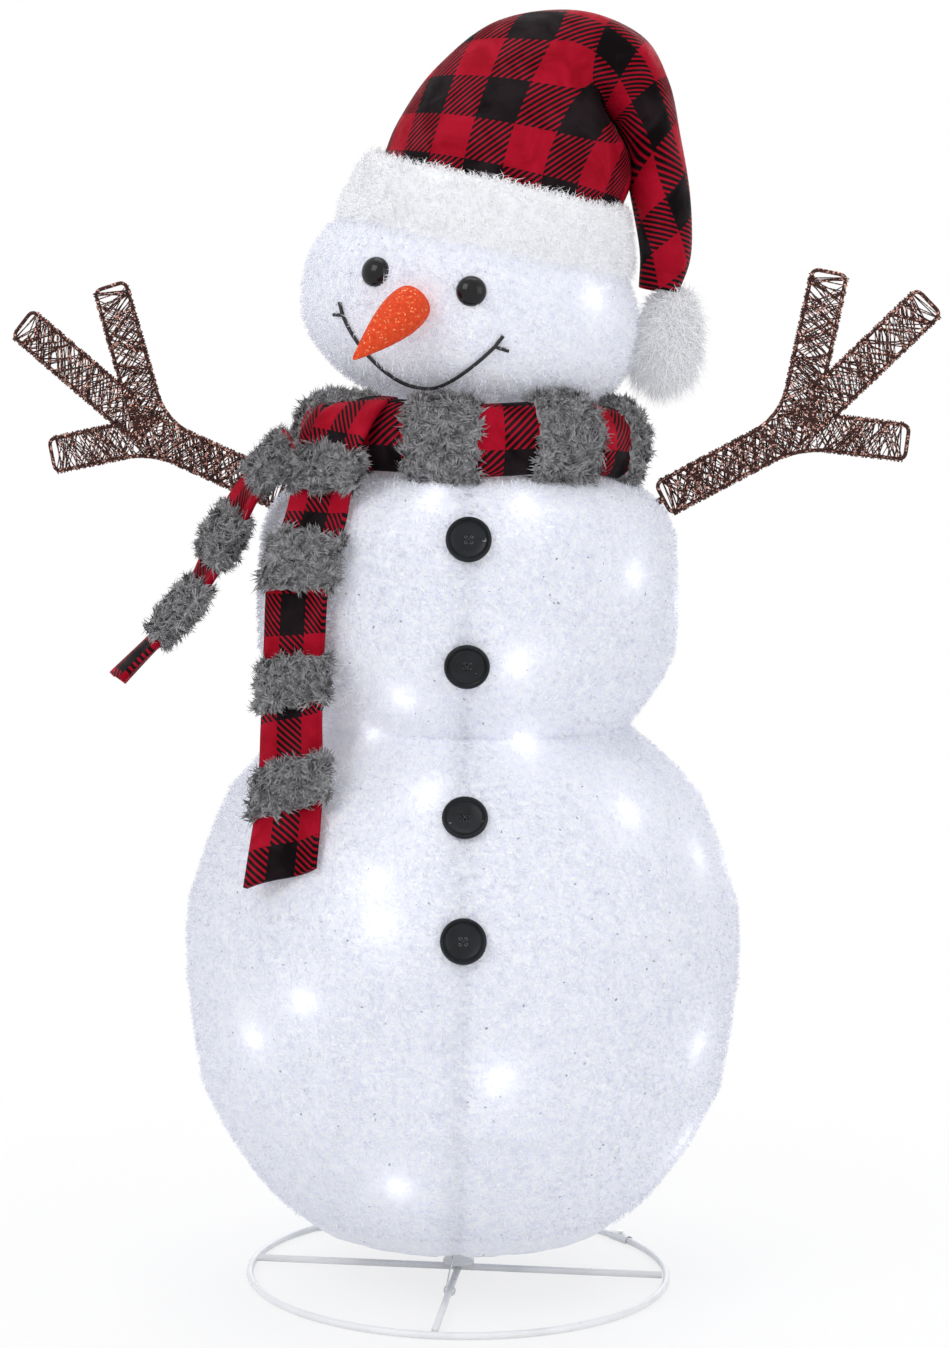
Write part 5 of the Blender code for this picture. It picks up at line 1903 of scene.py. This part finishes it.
    def nose(self) -> list[tuple[Vector, float]]:
        """A sewn felt carrot that hangs to the side.

        Returns:
            Centre and radius of the place under it.
        """
        way = Vector(self.nose_way).normalized()
        seat, out = self.skin(0.0, self.nose_up, -0.004)
        base = seat + out * (self.nose_radius * math.sqrt(1 - way.dot(out) ** 2)) - way * self.nose_sunk
        length = self.nose_length + self.nose_sunk
        line = [(across * self.nose_radius, up * length) for across, up in self.nose_line]
        route = smooth_path(stood_up(line), 4)
        shape = spun([(max(point.x, 0.0), point.z) for point in route], 48)
        for vert in shape.verts:
            angle = math.atan2(vert.co.y, vert.co.x)
            seam = 1.0 - self.nose_seam * math.exp(-((angle - 2.3) / 0.10) ** 2)
            vert.co.x *= seam
            vert.co.y *= seam
        aim = self.frame() @ Matrix.Translation(base) @ aimed(way)
        bmesh.ops.transform(shape, matrix=aim, verts=shape.verts)
        piece("carrot_nose_felt", shape, self.wear.felt, "head", ["carrot_nose"])
        return [(self.frame() @ base, self.nose_radius * 1.05)]

    def smile(self) -> list[tuple[Vector, float]]:
        """A stitched arc with a small fork at each corner.

        Returns:
            Centres and radii of places that stay clear along it.
        """
        def spot(share: float) -> Vector:
            """A point along the smile, from its left corner to its right one."""
            up = self.mouth_corner - self.mouth_dip * (1 - abs(share) ** 2.6)
            return self.frame() @ self.skin(self.mouth_reach * share, up, self.stitch_lift)[0]

        arc = [spot(-1 + step / 20) for step in range(41)]
        runs = [arc]
        for sign in (-1.0, 1.0):
            for swing, rise in ((0.35, 1.0), (1.0, -0.1)):
                turn = sign * (self.mouth_reach + swing * self.tick / self.radius * 1.3)
                end = self.skin(turn, self.mouth_corner + rise * self.tick, self.stitch_lift)[0]
                runs.append([spot(sign), self.frame() @ end])
        mesh = wire("smile", runs, self.stitch_radius, facets=3)
        piece("mouth_thread", mesh, self.wear.thread, "head", ["mouth_stitch"])
        close, wide = self.stitch_clear
        ticks = [(place, wide) for run in runs[1:] for place in run]
        return ticks + [(place, wide if index > 14 else close) for index, place in enumerate(arc)]


@dataclass
class Hat:
    """Stocking hat of check velvet, folded to one side, with a fuzzy trim and a pompom."""

    wear: Wardrobe
    head: Head
    rings: tuple[tuple[tuple[float, float], tuple[float, float], float], ...] = (
        ((0.148, 0.1465), (-0.142, 0.1465), 0.144), ((0.153, 0.176), (-0.131, 0.190), 0.136),
        ((0.147, 0.204), (-0.100, 0.258), 0.116), ((0.126, 0.229), (-0.042, 0.328), 0.090),
        ((0.102, 0.246), (0.049, 0.362), 0.072), ((0.105, 0.248), (0.128, 0.350), 0.060),
        ((0.122, 0.236), (0.171, 0.304), 0.055), ((0.139, 0.212), (0.198, 0.244), 0.052),
        ((0.151, 0.174), (0.224, 0.178), 0.048), ((0.179, 0.106), (0.240, 0.112), 0.040),
        ((0.188, 0.062), (0.236, 0.064), 0.026))
    fold_over: float = math.radians(50.0)
    fold_start: float = 0.36
    fold_span: float = 0.24
    cloth_thick: float = 0.003
    crease_depth: float = 0.060
    sag_depth: float = 0.030
    slack: float = 0.028
    grain_lean: float = -0.15
    grain_shift: tuple[float, float] = (-0.033, 0.021)
    trim_line: tuple[tuple[float, float], ...] = (
        (0.168, 0.072), (0.152, 0.084), (0.134, 0.098), (0.128, 0.126), (0.138, 0.145), (0.152, 0.143),
        (0.162, 0.123), (0.1685, 0.097), (0.1715, 0.076))
    trim_lumps: tuple[float, float, float] = (30.0, 0.004, 4.0)
    trim_glow: float = 0.20
    brow_dip: float = math.radians(6.5)
    pom_line: tuple[tuple[float, float], ...] = (
        (0.0, 0.062), (0.014, 0.060), (0.021, 0.045), (0.027, 0.022), (0.031, 0.0), (0.029, -0.020),
        (0.018, -0.036), (0.006, -0.042), (0.0, -0.043))
    pom_lumps: tuple[float, float, float] = (60.0, 0.004, 9.0)
    pom_across: float = 0.233
    pom_glow: float = 0.13

    def build(self) -> None:
        """Make the crown, the trim and the pompom."""
        self.crown()
        self.trim()
        self.pompom()

    def crown(self) -> None:
        """The folded bag of the hat."""
        steps = 10
        near = smooth_path(stood_up(inner for inner, _, _ in self.rings), steps)
        far = smooth_path(stood_up(outer for _, outer, _ in self.rings), steps)
        deep = smooth_path(stood_up((depth, 0.0) for _, _, depth in self.rings), steps)
        tilt = self.head.tilt()

        def girth(along: float) -> float:
            """Length round the hat at a share of its height."""
            wide = (along_path(far, along) - along_path(near, along)).length / 2
            return math.pi * (wide + along_path(deep, along).x)

        def dip(across: float, along: float) -> float:
            """How far the cloth near the hat's edge drops over the brow, or climbs at the back."""
            back = along_path(deep, along).x * math.sin(FULL_TURN * across)
            return math.tan(self.brow_dip) * back * max(0.0, 1.0 - along * 4.0)

        def place(across: float, along: float) -> Vector:
            """A point of the crown with soft folds that run down from the crease."""
            turn = FULL_TURN * across
            inner, outer = along_path(near, along), along_path(far, along)
            half = (outer - inner) / 2
            depth = along_path(deep, along).x
            crease = math.exp(-((along - 0.42) / 0.20) ** 2)
            fold = self.crease_depth * crease * math.sin(6 * turn + 14 * along) * (0.6 - 0.4 * math.cos(turn))
            sag = self.sag_depth * math.sin(3 * turn + 9 * along + 0.7) * min(1.0, along * 5.0)
            swell = 1.0 + (fold + sag - self.slack) * (0.5 + 0.5 * math.cos(turn))
            point = (inner + outer) / 2 + half * (math.cos(turn) * swell)
            return tilt @ (point + Vector((0, depth * math.sin(turn) * swell, dip(across, along))))

        flat_seam = [far[0].copy()]
        for index in range(1, len(far)):
            step = far[index] - far[index - 1]
            flat_seam.append(flat_seam[-1] + self.grain(index / (len(far) - 1)) @ step)

        def weave(across: float, along: float) -> tuple[float, float]:
            """Flat place of a point: in from the outer seam by its way round the bag."""
            inward = (along_path(near, along) - along_path(far, along)).normalized()
            reach = girth(along) * (0.5 - abs(across - 0.5))
            flat = along_path(flat_seam, along) + self.grain(along) @ inward * reach
            up = flat.z + dip(across, along)
            return self.grain_shift[0] + self.grain_lean * up - flat.x, self.grain_shift[1] + up

        shape = cloth_grid(128, 150, place, weave)
        made = piece("hat_crown_cloth", shape, self.wear.cap, "head", ["hat_crown"])
        solidify(made, self.cloth_thick)

    def grain(self, along: float) -> Matrix:
        """How far the cloth's grain has turned with the fold at a share of the hat's length."""
        share = as_share((along - self.fold_start) / self.fold_span)
        return Matrix.Rotation(-self.fold_over * share, 3, "Y")

    def trim(self) -> None:
        """The fuzzy roll round the hat's edge."""
        line = smooth_path(stood_up((*self.trim_line, self.trim_line[0])), 3)
        shape = spun([(point.x, point.z) for point in line[:-1]], 110, True)
        lumpy(shape, *self.trim_lumps)
        dipped = Matrix.Rotation(self.brow_dip, 4, "X")
        bmesh.ops.transform(shape, matrix=self.head.tilt() @ dipped, verts=shape.verts)
        made = piece("hat_trim_roll", shape, self.wear.trim, "head", ["hat_trim"])
        light_up(made, lambda places: np.full(len(places), self.trim_glow))
        pile = Pile(24000, 0.015, 0.0011, 0.7, 0.75, 12, 0.25)
        pile.comb("hat_trim_pile", made, self.wear.trim, "head")

    def pompom(self) -> None:
        """The sparkly tuft at the hat's tip: a core under long fibres that hang."""
        shape = spun(self.pom_line, 48)
        lumpy(shape, *self.pom_lumps)
        hung = Matrix.Translation((self.pom_across, 0, 0))
        bmesh.ops.transform(shape, matrix=self.head.tilt() @ hung, verts=shape.verts)
        made = piece("hat_pompom_core", shape, self.wear.trim, "head", ["hat_pompom"])
        light_up(made, lambda places: np.full(len(places), self.pom_glow))
        pile = Pile(9000, 0.024, 0.0011, 0.75, 0.5, 15, 0.55)
        pile.comb("hat_pompom_fibres", made, self.wear.trim, "head")


@dataclass(frozen=True)
class Lamp:
    """A square soft lamp: its place, width and power."""

    name: str
    place: tuple[float, float, float]
    size: float
    power: float


@dataclass
class Studio:
    """Camera, floor, soft lights and a white backdrop."""

    camera_place: tuple[float, float, float] = (-0.0046, -3.3237, 1.0063)
    yaw: float = 0.00406
    pitch: float = -0.08315
    roll: float = 0.0138
    lens: float = 74.78
    floor_half: float = 9.0
    floor_drop: float = 0.0006
    lamps: tuple[Lamp, ...] = (
        Lamp("key", (-2.6, -3.2, 3.4), 2.4, 62.0), Lamp("fill", (3.2, -2.6, 1.8), 2.6, 30.0),
        Lamp("top", (0.2, 0.4, 4.2), 2.6, 34.0), Lamp("back", (0.6, 3.6, 2.2), 2.6, 34.0))
    lamp_aim: tuple[float, float, float] = (0.0, 0.0, 0.75)
    sky: Colour = (0.94, 0.96, 1.0)
    sky_strength: float = 0.60

    def build(self) -> None:
        """Set up everything round the snowman."""
        bpy.context.scene.view_settings.view_transform = "Standard"
        self.camera()
        self.floor()
        self.lights()
        self.backdrop()

    def camera(self) -> None:
        """Place the camera where the photo was taken from."""
        data = bpy.data.cameras.new("camera")
        data.sensor_fit = "VERTICAL"
        data.sensor_height = 36.0
        data.lens = self.lens
        data.dof.use_dof = False
        eye = bpy.data.objects.new("camera", data)
        aim = Matrix.Rotation(-self.yaw, 4, "Z") @ Matrix.Rotation(math.pi / 2 + self.pitch, 4, "X")
        eye.matrix_world = Matrix.Translation(self.camera_place) @ aim @ Matrix.Rotation(self.roll, 4, "Z")
        bpy.context.scene.collection.objects.link(eye)
        bpy.context.scene.camera = eye

    def floor(self) -> None:
        """A pale floor that looks white to the camera and keeps a soft shadow."""
        shape = bmesh.new()
        bmesh.ops.create_grid(shape, x_segments=1, y_segments=1, size=self.floor_half)
        bmesh.ops.translate(shape, vec=(0, 0, -self.floor_drop), verts=shape.verts)
        data = bpy.data.meshes.new("floor")
        shape.to_mesh(data)
        shape.free()
        made = bpy.data.objects.new("floor", data)
        bpy.context.scene.collection.objects.link(made)
        made.data.materials.append(self.paper())

    @staticmethod
    def seen(graph: Graph) -> bpy.types.NodeSocket:
        """One where a ray comes from the camera, a mirror or glass.

        Args:
            graph: The graph that asks.

        Returns:
            The answer's socket.
        """
        path = graph.add("ShaderNodeLightPath")
        shiny = graph.math("MAXIMUM", path.outputs["Is Glossy Ray"], path.outputs["Is Transmission Ray"])
        return graph.math("MAXIMUM", path.outputs["Is Camera Ray"], shiny)

    def paper(self) -> bpy.types.Material:
        """White studio paper that keeps a faint shadow near the ring and is plain white further out.

        Returns:
            The material.
        """
        made, graph, shader = Finish("studio paper", (0.93, 0.93, 0.93), 0.9).start()
        away = graph.add("ShaderNodeVectorMath", operation="LENGTH")
        graph.feed(away.inputs[0], graph.place())
        plain = graph.spread(away.outputs["Value"], 0.30, 1.10, 0.72, 1.0)
        white = graph.add("ShaderNodeEmission")
        mix = graph.add("ShaderNodeMixShader")
        graph.feed(mix.inputs[0], graph.math("MULTIPLY", plain, self.seen(graph)))
        graph.feed(mix.inputs[1], shader.outputs["BSDF"])
        graph.feed(mix.inputs[2], white.outputs["Emission"])
        leave = made.node_tree.nodes["Material Output"]
        graph.feed(leave.inputs["Surface"], mix.outputs["Shader"])
        return made

    def lights(self) -> None:
        """Large soft lamps: a key from the upper left, a fill from the right, one above and one behind."""
        for lamp in self.lamps:
            data = bpy.data.lights.new(lamp.name, "AREA")
            data.energy = lamp.power
            data.size = lamp.size
            made = bpy.data.objects.new(lamp.name, data)
            made.location = lamp.place
            shining = Vector(self.lamp_aim) - Vector(lamp.place)
            made.rotation_euler = shining.to_track_quat("-Z", "Y").to_euler()
            bpy.context.scene.collection.objects.link(made)

    def backdrop(self) -> None:
        """A white world for the camera and a softer one for light."""
        world = bpy.data.worlds.new("backdrop")
        world.use_nodes = True
        bpy.context.scene.world = world
        graph = Graph(world.node_tree)
        world.node_tree.nodes.clear()
        white = graph.add("ShaderNodeBackground")
        graph.fill(white, Color=(1.0, 1.0, 1.0))
        soft = graph.add("ShaderNodeBackground")
        graph.fill(soft, Color=self.sky, Strength=self.sky_strength)
        mix = graph.add("ShaderNodeMixShader")
        graph.feed(mix.inputs[0], self.seen(graph))
        graph.feed(mix.inputs[1], soft.outputs["Background"])
        graph.feed(mix.inputs[2], white.outputs["Background"])
        leave = graph.add("ShaderNodeOutputWorld")
        graph.feed(leave.inputs["Surface"], mix.outputs[0])


def main() -> None:
    """Load the frame, dress it and set up the studio."""
    logging.basicConfig(level=logging.INFO)
    noise.seed_set(NOISE_SEED)
    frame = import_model()
    wear = Wardrobe.sew()
    Stand(wear, frame["nodes"]).build()
    Body(wear).build()
    Arms(wear).build()
    Scarf(wear).build()
    head = Head(wear)
    head.build()
    Hat(wear, head).build()
    Studio().build()


if __name__ == "__main__":
    main()
